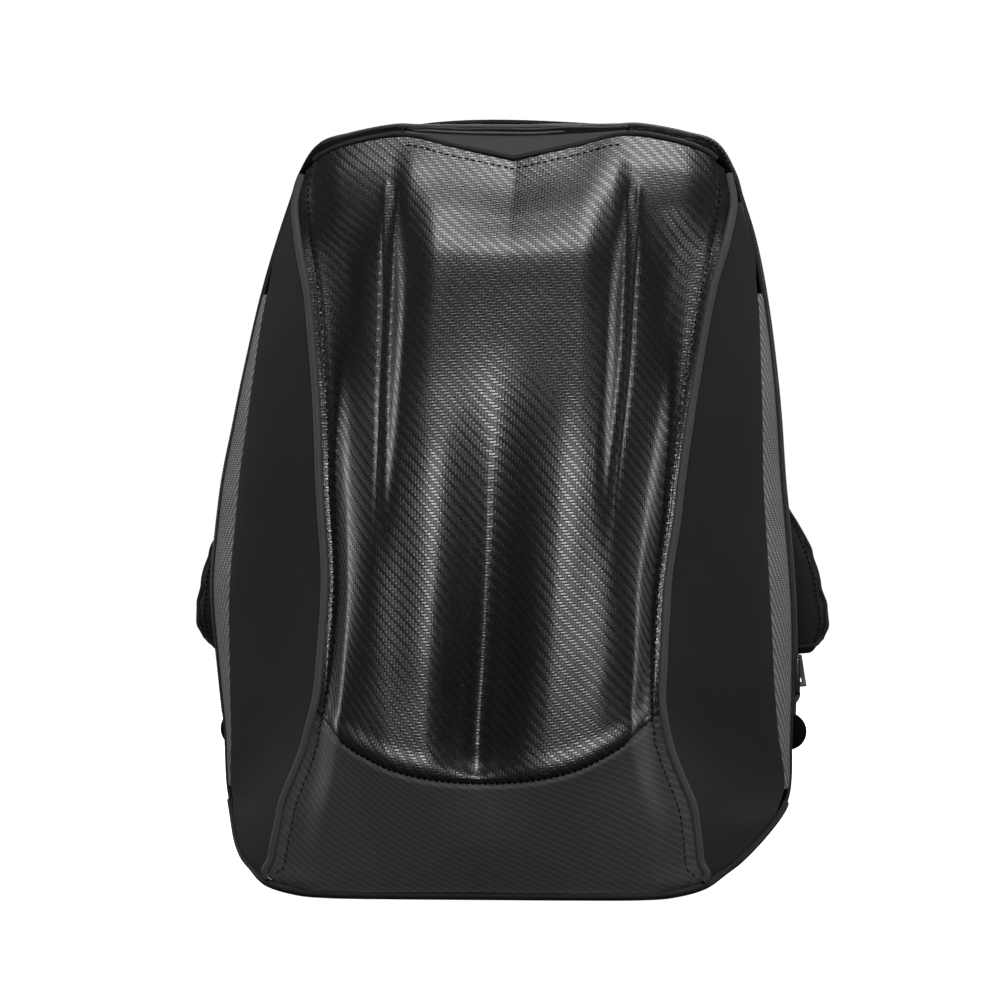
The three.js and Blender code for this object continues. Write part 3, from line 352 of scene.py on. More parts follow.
@dataclass(frozen=True)
class BagForm:
    """The body's shape: the moulded shell in front and the ring of cloth round it.

    Attributes:
        back_plane: Where the bag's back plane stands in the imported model.
        middle: Where the bag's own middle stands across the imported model.
        width: The body's greatest width.
        height: The body's height.
        depth: The body's depth at the crease.
        gap: The clearance between neighbouring pieces.
        panel_width: The width of the raised centre panel.
        bevel_width: The width of the slope beside it.
        crest_share: The lobes' crest, as a share of the panel's half width.
        flank_share: The flank's place from the slope's foot to the edge.
        flange_share: The flange's place there.
        crease_height: The height of the crease over the chin.
        crease_rise: How much the crease rises towards the edges.
        crease_fade: The height where that rise has faded.
        top_dip_from: Where the notch and the shoulders start to draw the surface down.
        notch_depth: The depth of the V notch.
        shoulder_drop: How much lower the shoulders stand than the top.
        foot_corner_rise: How much the shell's lower corners rise.
        shell_foot: The height of the shell's lower edge.
        back_inset: How much narrower the back is on each side.
        rear_roll_depth: Where the rear edge starts to round, before the back plane.
        rear_roll_inset: How much narrower the bag is there.
        rear_roll_drop: How much lower the top is there.
        rear_edge_drop: How much lower the top's rear edge is than its rim.
        rim_depth: How far the top's rim stands before the back plane.
        rim_rise: How far the rim stands above the notch's point.
        lean: How far the loaded body leans to the right.
        slip: How far its front slips to the left.
        slip_start: Where the slip starts, before the back plane.
        slip_whole: Where it is whole.
        piping_radius: Half the thickness of the side piping.
        top_welt_radius: Half the thickness of the welt along the shell's top.
        binding_radius: Half the thickness of the foot's binding.
        stations: The ring's lines, kept once they are worked out.
    """

    back_plane: float
    middle: float
    width: float = 362 * MM
    height: float = 476 * MM
    depth: float = 152 * MM
    gap: float = 0.3 * MM
    panel_width: float = 125 * MM
    bevel_width: float = 13.5 * MM
    crest_share: float = 0.7
    flank_share: float = 0.5
    flange_share: float = 0.8
    crease_height: float = 73 * MM
    crease_rise: float = 42 * MM
    crease_fade: float = 262 * MM
    top_dip_from: float = 371 * MM
    notch_depth: float = 16 * MM
    shoulder_drop: float = 25 * MM
    foot_corner_rise: float = 6 * MM
    shell_foot: float = 6.1 * MM
    back_inset: float = 22 * MM
    rear_roll_depth: float = 14 * MM
    rear_roll_inset: float = 6.6 * MM
    rear_roll_drop: float = 2.2 * MM
    rear_edge_drop: float = 8.8 * MM
    rim_depth: float = 34 * MM
    rim_rise: float = 20 * MM
    lean: float = 7 * MM
    slip: float = 8 * MM
    slip_start: float = 47 * MM
    slip_whole: float = 114 * MM
    piping_radius: float = 2.4 * MM
    top_welt_radius: float = 1.6 * MM
    binding_radius: float = 2.6 * MM
    stations: dict = field(default_factory=dict, compare=False)

    @property
    def shell_top(self) -> float:
        """The reference height of the shell's top edge."""
        return FACE.rows[-1][0] * self.height

    @property
    def welt_seat(self) -> float:
        """How far the shell and the side cloth keep from the piped seam."""
        return self.piping_radius + 2.5 * self.gap

    @property
    def top_welt_seat(self) -> float:
        """How far the shell and the insert keep from the top welt."""
        return self.top_welt_radius + 2 * self.gap

    def side(self, column: str, height: Array) -> Array:
        """One column of the side's table at a height."""
        return SIDE.read(column, height / self.height)

    def outline_half(self, height: Array) -> Array:
        """Half the silhouette's width at a height."""
        return self.side("outline", height) * self.width / 2

    def edge_half(self, height: Array) -> Array:
        """How far the shell's edge stands from the middle at a height."""
        return self.outline_half(height) * self.side("edge", height)

    def shell_height(self, share: Array, height: Array) -> Array:
        """The height of the shell's surface.

        Args:
            share: Places across, from -1 to 1.
            height: Reference heights.

        Returns:
            The heights, with the crease's rise, the notch, the shoulders and the corners in them.
        """
        s = np.abs(share)
        to_crease = smoothstep(height, self.shell_foot, self.crease_height)
        from_crease = 1 - smoothstep(height, self.crease_height, self.crease_fade)
        lift = self.crease_rise * s * s * np.minimum(to_crease, from_crease)
        notch = SHELL.read("notch", s) * self.notch_depth
        shoulder = SHELL.read("shoulder", s) * self.shoulder_drop
        dip = (notch + shoulder) * smoothstep(height, self.top_dip_from, self.shell_top)
        rise = SHELL.read("lift", s) * self.foot_corner_rise * (1 - to_crease)
        return height + lift - dip + rise

    def shell_across(self, share: Array, height: Array) -> Array:
        """How far places of the shell stand from the middle.

        Args:
            share: Places across, from -1 to 1.
            height: The heights of the shell's edge there.

        Returns:
            The distances, negative on the left.
        """
        edge = self.edge_half(height)
        panel = self.side("panel", height) * self.panel_width / 2
        foot = panel + self.bevel_width * panel / (self.panel_width / 2)
        rest = edge - foot
        places = np.stack([
            np.zeros_like(edge),
            self.crest_share * panel,
            panel,
            foot,
            foot + self.flank_share * rest,
            foot + self.flange_share * rest,
            edge,
        ], axis=-1)
        return np.sign(share) * monotone(SHELL.column("across"), places, np.abs(share))

    def shell(self, share: Array, height: Array) -> Array:
        """Points of the shell's outer surface.

        Args:
            share: Places across, from -1 at the left edge to 1 at the right.
            height: Reference heights.

        Returns:
            One point for each pair, in the bag's frame.
        """
        share, height = np.broadcast_arrays(np.asarray(share, float), np.asarray(height, float))
        across = SHELL.column("across")
        at = [-across[1], *across]
        depths = []
        for table in (CHIN, FACE):
            columns = [table.read(place, height / self.height) for place in PLACES]
            depths.append(np.stack([columns[1], *columns], axis=-1))
        in_chin = (height < self.crease_height)[..., None]
        depth = monotone(at, np.where(in_chin, depths[0], depths[1]), np.abs(share)) * self.depth
        z = self.shell_height(share, height)
        x = self.shell_across(share, self.shell_height(1.0, height))
        return spots(x, depth, z)

    def reference_for(self, height: Array) -> Array:
        """Finds where the shell's edge stands at a height.

        Args:
            height: Heights in the bag's frame.

        Returns:
            The reference height for each.
        """
        low = np.full_like(height, self.shell_foot)
        high = np.full_like(height, self.shell_top)
        for _ in range(40):
            between = (low + high) / 2
            under = self.shell_height(1.0, between) < height
            low, high = np.where(under, between, low), np.where(under, high, between)
        return (low + high) / 2

    @property
    def edge_foot(self) -> float:
        """The height of the shell's lower corners."""
        return float(self.shell_height(1.0, self.shell_foot))

    @property
    def edge_top(self) -> float:
        """The height of the shell's shoulders."""
        return float(self.shell_height(1.0, self.shell_top))

    def ring_lines(self) -> Array:
        """The ring's five lines, as points at each station from low right over the top to low left.

        Returns:
            Points (stations, 5, 3).
        """
        if "lines" not in self.stations:
            heights = self.side_heights()
            half = np.concatenate([self._side_stations(heights), self._top_stations()])
            self.stations["lines"] = np.concatenate([half, half[:-1][::-1] * Side.LEFT.mirror])
        return self.stations["lines"]

    def side_heights(self) -> Array:
        """The heights of the shell's edge at the side's stations."""
        rows = SIDE.column("height") * self.height
        margin = 4 * MM
        kept = rows[(rows > self.edge_foot + margin) & (rows < self.edge_top - margin)]
        return np.concatenate([[self.edge_foot], kept, [self.edge_top]])

    @staticmethod
    def _seated(edge: Array, fold: Array, seat: float) -> Array:
        """Moves the shell's edge towards the cloth's fold, to leave room for the seam."""
        share = np.minimum(seat / np.linalg.norm(fold - edge, axis=-1), 0.7)[:, None]
        return edge + (fold - edge) * share

    def _side_stations(self, heights: Array) -> Array:
        """The five points of each station on the side.

        Args:
            heights: The heights of the shell's edge at the stations.

        Returns:
            Points (stations, 5, 3).
        """
        edge = self.shell(1.0, self.reference_for(heights))
        height = edge[:, 2]
        outline = self.outline_half(height)
        rise = (self.edge_top - self.shell_foot) * (height - self.edge_foot)
        rear = self.shell_foot + rise / (self.edge_top - self.edge_foot)
        rear_x = self.outline_half(rear)
        fold_x = edge[:, 0] + (outline - edge[:, 0]) * self.side("fold", height)
        fold = spots(fold_x, self.side("fold_depth", height) * self.depth, height)
        return np.stack([
            self._seated(edge, fold, self.welt_seat),
            fold,
            spots(outline, self.side("outline_depth", height) * self.depth, height),
            spots(rear_x - self.rear_roll_inset, self.rear_roll_depth, rear),
            spots(rear_x - self.back_inset, self.gap, rear),
        ], axis=1)

    def _top_stations(self) -> Array:
        """The five points of each station on the top.

        Returns:
            Points (stations, 5, 3).
        """
        across, outward, rear, fold, rim, fold_depth, rim_depth = np.array(TOP.rows).T
        edge = self.shell(across, self.shell_top)
        rim_z = edge[:, 2] + rim * self.rim_rise
        x = edge[:, 0] * outward
        rear_x = edge[:, 0] * rear
        roll_x = x + (rear_x - x) * self.rear_roll_inset / self.back_inset
        folded = spots((edge[:, 0] + x) / 2, fold_depth * self.depth, edge[:, 2] + fold * self.rim_rise)
        return np.stack([
            self._seated(edge, folded, self.top_welt_seat),
            folded,
            spots(x, rim_depth * self.rim_depth, rim_z),
            spots(roll_x, self.rear_roll_depth, rim_z - self.rear_roll_drop),
            spots(rear_x, self.gap, rim_z - self.rear_edge_drop),
        ], axis=1)

    @property
    def last_station(self) -> int:
        """The number of the station in the middle of the top."""
        return len(self.side_heights()) + len(TOP.rows) - 1

    @property
    def shoulder_station(self) -> int:
        """The number of the station at the shell's shoulder."""
        return len(self.side_heights()) - 1

    def stations_over(self, first: float, count: int) -> Array:
        """Stations from one on the right over the top to its mirror image on the left."""
        return np.linspace(first, 2 * self.last_station - first, count)

    def station_at(self, height: float) -> float:
        """The station, counted up from the foot, whose edge stands at a height."""
        heights = self.side_heights()
        above = int(np.clip(np.searchsorted(heights, height, side="right"), 1, len(heights) - 1))
        low, high = heights[above - 1], heights[above]
        return above - 1 + (height - low) / (high - low)

    def ring(self, u: Array, station: Array) -> Array:
        """Points of the cloth ring round the shell.

        Args:
            u: From 0 at the shell's edge over the widest line at 0.5 to 1 at the back.
            station: Stations from the lower right over the top to the lower left.

        Returns:
            One point for each pair, in the bag's frame.
        """
        u, station = np.broadcast_arrays(np.asarray(u, float), np.asarray(station, float))
        lines = self.ring_lines()
        shape = u.shape
        v = station.ravel() / (len(lines) - 1)
        section = np.stack([through(lines[:, k], v) for k in range(lines.shape[1])], axis=1)
        return through(section, u.ravel()).reshape(*shape, 3)

    def ring_offset(self, line: float, station: Array, length: Array, direction: int) -> Array:
        """Measures a length across the ring.

        Args:
            line: The u of the line that it starts from.
            station: The stations where it is measured.
            length: The lengths.
            direction: 1 towards the back and -1 towards the shell.

        Returns:
            The u where each length ends.
        """
        station = np.atleast_1d(np.asarray(station, float))
        length = np.broadcast_to(np.asarray(length, float), station.shape)
        steps = np.linspace(0, 0.48 if line > 0.3 or direction > 0 else 0.24, 241)
        points = self.ring(line + direction * steps[None, :], station[:, None])
        distance = np.linalg.norm(points - points[:, :1], axis=-1)
        reached = np.argmax(distance >= length[:, None], axis=1)
        before = np.maximum(reached - 1, 0)
        rows = np.arange(len(station))
        span = np.maximum(distance[rows, reached] - distance[rows, before], 1e-9)
        share = clamp01((length - distance[rows, before]) / span)
        return line + direction * (steps[before] + share * (steps[reached] - steps[before]))

    def placed(self, points: Array) -> Array:
        """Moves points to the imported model, with the loaded body's lean and slip.

        Args:
            points: Points in the bag's frame.

        Returns:
            The moved points.
        """
        moved = np.array(points, float)
        height = moved[..., 2] / self.height
        forward = smoothstep(-moved[..., 1], self.slip_start, self.slip_whole)
        lean = LEAN.read("lean", height) * self.lean
        moved[..., 0] += lean - forward * LEAN.read("slip", height) * self.slip
        moved[..., 0] += self.middle
        moved[..., 1] += self.back_plane
        return moved


# Meshes


def normals_of(grid: Array) -> Array:
    """The outward normals of a grid, away from the middle of the bag.

    Args:
        grid: Points (rows, columns, 3).

    Returns:
        One unit vector for each point.
    """
    along_u = np.gradient(grid, axis=1)
    along_v = np.gradient(grid, axis=0)
    normal = np.cross(along_u, along_v)
    normal /= np.maximum(np.linalg.norm(normal, axis=-1, keepdims=True), 1e-12)
    centre = np.array(BAG_MIDDLE)
    if np.sum(normal * (grid - centre)) < 0:
        normal = -normal
    return normal


def distance_along(points: Array, axis: int = 0) -> Array:
    """How far each point lies along a route, or along one axis of a grid.

    Args:
        points: The route (points, 3) or the grid (rows, columns, 3).
        axis: The axis that is followed.

    Returns:
        The distances, from 0 at the start.
    """
    steps = np.linalg.norm(np.diff(points, axis=axis), axis=-1)
    start = np.zeros_like(np.take(steps, [0], axis=axis))
    return np.concatenate([start, np.cumsum(steps, axis=axis)], axis=axis)


def cut_plan(grid: Array) -> Array:
    """Lays a grid out flat, with true lengths across each row and up the middle column.

    Args:
        grid: Points (rows, columns, 3).

    Returns:
        The place of each point in the flat cut (rows, columns, 2).
    """
    u = distance_along(grid, 1)
    middle = grid.shape[1] // 2
    u -= u[:, middle:middle + 1]
    v = distance_along(grid, 0)
    v = 0.5 * v + 0.5 * v[:, middle:middle + 1]
    return np.stack([u, v], axis=-1)


def build_object(
    name: str, points: Array, faces: Sequence[Sequence[int]], plan: Array | None = None
) -> Piece:
    """Makes a mesh object.

    Args:
        name: The piece's name.
        points: Its points.
        faces: Its faces, as lists of point numbers.
        plan: For each point its place in the sheet's flat cut.

    Returns:
        The object, smooth shaded, with sharp edges kept.
    """
    mesh = bpy.data.meshes.new(name)
    mesh.from_pydata(points.reshape(-1, 3).tolist(), [], faces)
    mesh.validate()
    if plan is not None:
        layer = mesh.uv_layers.new(name=Coordinates.SHEET.value)
        index = np.zeros(len(mesh.loops), int)
        mesh.loops.foreach_get("vertex_index", index)
        layer.data.foreach_set("uv", plan.reshape(-1, 2)[index].astype(np.float32).ravel())
    mesh.shade_smooth()
    piece = bpy.data.objects.new(name, mesh)
    bpy.context.scene.collection.objects.link(piece)
    face_out(piece)
    mesh.set_sharp_from_angle(angle=math.radians(50))
    return piece


def face_out(piece: Piece) -> None:
    """Turns a closed mesh's faces so that they look out.

    Args:
        piece: The mesh's object.
    """
    mesh = piece.data
    mesh.calc_loop_triangles()
    corners = np.zeros(len(mesh.loop_triangles) * 3, int)
    mesh.loop_triangles.foreach_get("vertices", corners)
    points = coordinates(piece)
    points = points - points.mean(axis=0)
    a, b, c = (points[corners.reshape(-1, 3)[:, k]] for k in range(3))
    if np.sum(a * np.cross(b, c)) < 0:
        mesh.flip_normals()


def quads(index: Array) -> Array:
    """The four-sided faces between neighbouring rows and columns of point numbers."""
    corners = [index[:-1, :-1], index[:-1, 1:], index[1:, 1:], index[1:, :-1]]
    return np.stack(corners, axis=-1).reshape(-1, 4)


def sheet_faces(rows: int, columns: int) -> list[list[int]]:
    """The faces of a closed slab between two grids of the same size.

    Args:
        rows: How many points each grid has up.
        columns: How many it has across.

    Returns:
        The faces, with the second grid's points numbered after the first one's.
    """
    index = np.arange(rows * columns).reshape(rows, columns)
    far = index + rows * columns

    def rim(near: Array, back: Array) -> Array:
        """The faces along one edge."""
        return np.stack([near[:-1], back[:-1], back[1:], near[1:]], axis=-1)

    rims = [
        rim(index[0], far[0]),
        rim(far[-1], index[-1]),
        rim(far[:, 0], index[:, 0]),
        rim(index[:, -1], far[:, -1]),
    ]
    return np.concatenate([quads(index), quads(far)[:, TURNED_OVER], *rims]).tolist()


def tube_faces(index: Array) -> list[list[int]]:
    """The faces of a tube with closed ends, from the point numbers of its rings."""
    wall = quads(np.concatenate([index, index[:, :1]], axis=1))
    return wall.tolist() + [index[0][::-1].tolist(), index[-1].tolist()]


def cloth_piece(name: str, grid: Array, thickness: float, roll: float = 0.0) -> Piece:
    """Makes a closed sheet from a grid of its outer face.

    Args:
        name: The piece's name.
        grid: Points of the outer face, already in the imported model's place.
        thickness: The sheet's thickness, inwards.
        roll: The radius by which its edges round off.

    Returns:
        The object.
    """
    normal = normals_of(grid)
    outer = grid.copy()
    if roll > 0:
        outer = outer - normal * rolled_edge(grid, roll)[..., None]
    inner = grid - normal * thickness
    points = np.concatenate([outer.reshape(-1, 3), inner.reshape(-1, 3)])
    plans = np.tile(cut_plan(grid).reshape(-1, 2), (2, 1))
    return build_object(name, points, sheet_faces(*grid.shape[:2]), plans)


def rolled_edge(grid: Array, radius: float) -> Array:
    """How far a sheet's face drops near its edges, so that the edges look folded.

    Args:
        grid: The sheet's outer face.
        radius: The radius of the fold.

    Returns:
        The drop at each point.
    """
    u, v = distance_along(grid, 1), distance_along(grid, 0)
    near = np.minimum(np.minimum(u, u[:, -1:] - u), np.minimum(v, v[-1:] - v))
    inside = clamp01(near / radius)
    return radius * (1 - np.sqrt(1 - (1 - inside) ** 2)) * 0.7


def frames_along(points: Array, up: Array) -> tuple[Array, Array, Array]:
    """The direction, the sideways vector and the face of each place along a route.

    Args:
        points: The route.
        up: A vector that the face leans towards, one or one for each point.

    Returns:
        Three arrays of unit vectors.
    """
    along = np.gradient(points, axis=0)
    along /= np.linalg.norm(along, axis=-1, keepdims=True)
    up = np.broadcast_to(up, points.shape)
    sideways = np.cross(up, along)
    sideways /= np.maximum(np.linalg.norm(sideways, axis=-1, keepdims=True), 1e-9)
    return along, sideways, np.cross(along, sideways)


def lofted(name: str, rings: Array) -> Piece:
    """Makes a closed solid through rings of points, with its length and girth as the flat cut.

    Args:
        name: The piece's name.
        rings: Sections (stations, points, 3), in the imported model's place.

    Returns:
        The object.
    """
    faces = tube_faces(np.arange(rings.shape[0] * rings.shape[1]).reshape(rings.shape[:2]))
    v = distance_along(rings.mean(axis=1))
    u = distance_along(rings, 1)
    plan = np.stack([u, np.broadcast_to(v[:, None], u.shape)], axis=-1)
    return build_object(name, rings, faces, plan)


def per_station(value: Array, count: int) -> Array:
    """One value for each of a route's stations, shaped to multiply the points of its sections."""
    return np.broadcast_to(np.asarray(value, float), (count,))[:, None, None]


def cord_rings(points: Array, radius: Array, sides: int, up: Sequence[float] = (0, 0, 1)) -> Array:
    """Round sections along a route.

    Args:
        points: The route.
        radius: The radius, one or one for each point.
        sides: How many points each section has.
        up: A vector that no stretch of the route runs along.

    Returns:
        The sections.
    """
    _, sideways, face = frames_along(points, np.array(up, float))
    turn = np.linspace(0, 2 * np.pi, sides, endpoint=False)
    ring = np.cos(turn)[None, :, None] * sideways[:, None] + np.sin(turn)[None, :, None] * face[:, None]
    return points[:, None] + per_station(radius, len(points)) * ring


def strip_rings(
    points: Array, up: Array, width: Array, thickness: Array, squareness: float, sides: int
) -> Array:
    """Flat rounded sections along a route, such as webbing or a strap.

    Args:
        points: The route.
        up: The way that the flat face looks.
        width: The widths along the route.
        thickness: The thicknesses along the route.
        squareness: The power of the section's outline, where 1 is an ellipse and less is squarer.
        sides: How many points each section has.

    Returns:
        The sections.
    """
    _, sideways, face = frames_along(points, up)
    turn = np.linspace(0, 2 * np.pi, sides, endpoint=False)
    across = np.sign(np.cos(turn)) * np.abs(np.cos(turn)) ** squareness
    through_it = np.sign(np.sin(turn)) * np.abs(np.sin(turn)) ** squareness
    width = per_station(width, len(points)) / 2
    thickness = per_station(thickness, len(points)) / 2
    flat = across[None, :, None] * width * sideways[:, None]
    return points[:, None] + flat + through_it[None, :, None] * thickness * face[:, None]


def route_at(points: Array, distance: Array, at: Array) -> Array:
    """Values at distances along a route, from the distances of its own points."""
    return np.stack([np.interp(at, distance, points[:, k]) for k in range(3)], axis=-1)


def even_route(points: Array, spacing: float) -> Array:
    """Spaces a route's points evenly.

    Args:
        points: The route.
        spacing: About how far apart the new points are.

    Returns:
        The new points.
    """
    length = distance_along(points)
    count = max(int(round(length[-1] / spacing)), 2)
    return route_at(points, length, np.linspace(0, length[-1], count + 1))


def across_of(grid: Array) -> Array:
    """The share of the way across a grid for each of its columns."""
    return np.linspace(0, 1, grid.shape[1])[None, :]


# Small solids and padding


def linked(name: str, mesh: bpy.types.Mesh, angle: float = 40.0) -> Piece:
    """Puts a mesh in the scene, smooth shaded.

    Args:
        name: The piece's name.
        mesh: Its mesh.
        angle: The bend in degrees from which an edge stays sharp.

    Returns:
        The piece.
    """
    mesh.shade_smooth()
    mesh.set_sharp_from_angle(angle=math.radians(angle))
    piece = bpy.data.objects.new(name, mesh)
    bpy.context.scene.collection.objects.link(piece)
    return piece


def bevelled(name: str, node: str, radius: float) -> Piece:
    """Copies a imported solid, clears the spare edges of its flat faces and rounds its corners.

    Args:
        name: The piece's name.
        node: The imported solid's name.
        radius: The rounding.

    Returns:
        The piece.
    """
    source = bpy.data.objects[node]
    weld, flat, sharp = 0.02 * MM, math.radians(2), math.radians(25)
    shape = bmesh.new()
    shape.from_mesh(source.data)
    bmesh.ops.transform(shape, matrix=source.matrix_world, verts=shape.verts)
    bmesh.ops.remove_doubles(shape, verts=shape.verts, dist=weld)
    bmesh.ops.dissolve_limit(shape, angle_limit=flat, verts=shape.verts, edges=shape.edges)
    corners = [
        edge for edge in shape.edges if len(edge.link_faces) == 2 and edge.calc_face_angle() > sharp
    ]
    bmesh.ops.bevel(
        shape, geom=corners, offset=radius, segments=2, profile=0.5, affect="EDGES", clamp_overlap=True
    )
    mesh = bpy.data.meshes.new(name)
    shape.to_mesh(mesh)
    shape.free()
    return linked(name, mesh)


def coordinates(piece: Piece) -> Array:
    """The points of a piece's mesh."""
    points = np.zeros(len(piece.data.vertices) * 3)
    piece.data.vertices.foreach_get("co", points)
    return points.reshape(-1, 3)


def put(piece: Piece, points: Array) -> None:
    """Moves the points of a piece's mesh."""
    piece.data.vertices.foreach_set("co", np.asarray(points, np.float32).ravel())
    piece.data.update()


def evaluated(piece: Piece) -> Piece:
    """A piece as its modifiers show it."""
    return piece.evaluated_get(bpy.context.evaluated_depsgraph_get())


def applied(piece: Piece) -> None:
    """Makes a piece's modifiers part of its mesh."""
    mesh = bpy.data.meshes.new_from_object(evaluated(piece))
    piece.modifiers.clear()
    piece.data = mesh


def plump(piece: Piece, cell: float, pressure: float, most: float, sewn_before: float = -1.0) -> None:
    """Lets a padded piece's cover swell round its stuffing, as a cloth simulation under pressure.

    Args:
        piece: The piece, a closed mesh.
        cell: The size of the cover's cells.
        pressure: The stuffing's pressure.
        most: The farthest that a point moves.
        sewn_before: Points in front of this y are sewn down and don't move.
    """
    remesh = piece.modifiers.new("cells", "REMESH")
    remesh.mode = "VOXEL"
    remesh.voxel_size = cell
    applied(piece)
    rest = coordinates(piece)
    sewn = piece.vertex_groups.new(name="sewn")
    sewn.add(np.flatnonzero(rest[:, 1] < sewn_before).tolist(), 1.0, "REPLACE")
    cloth = piece.modifiers.new("cover", "CLOTH")
    cloth.settings.vertex_group_mass = sewn.name
    cloth.settings.quality = 4
    cloth.settings.use_pressure = True
    cloth.settings.uniform_pressure_force = pressure
    cloth.settings.effector_weights.gravity = 0
    for frame in range(1, SWELL_FRAMES + 1):
        bpy.context.scene.frame_set(frame)
    moved = coordinates(evaluated(piece)) - rest
    piece.modifiers.remove(cloth)
    bpy.context.scene.frame_set(1)
    length = np.linalg.norm(moved, axis=-1, keepdims=True)
    LOG.info("%s: its cover moved by %.1f mm at the most", piece.name, length.max() / MM)
    put(piece, rest + moved * np.minimum(1, most / np.maximum(length, 1e-9)))
    finer = piece.modifiers.new("finer", "SUBSURF")
    finer.levels = 1
    applied(piece)
    piece.data.shade_smooth()


def snapped(piece: Piece, route: Array) -> tuple[Array, Array]:
    """Moves a route onto a piece's surface.

    Args:
        piece: The piece.
        route: Points near its surface.

    Returns:
        The nearest points of the surface, and its normals there.
    """
    faces = [tuple(face.vertices) for face in piece.data.polygons]
    tree = BVHTree.FromPolygons([tuple(point) for point in coordinates(piece)], faces)
    found = [tree.find_nearest(Vector(point)) for point in route]
    return np.array([place for place, *_ in found]), np.array([normal for _, normal, *_ in found])


def press_seam(piece: Piece, route: Array, depth: float, width: float) -> None:
    """Pulls a padded piece in along a sewn line.

    Args:
        piece: The piece.
        route: Points of the line, close together.
        depth: How deep the line lies.
        width: How wide the hollow beside it is.
    """
    points = coordinates(piece)
    normals = np.zeros(len(points) * 3)
    piece.data.vertex_normals.foreach_get("vector", normals)
    away = np.full(len(points), np.inf)
    for place in route:
        away = np.minimum(away, np.sum((points - place) ** 2, axis=-1))
    put(piece, points - normals.reshape(-1, 3) * (depth * ridge(np.sqrt(away), width))[:, None])


# Materials


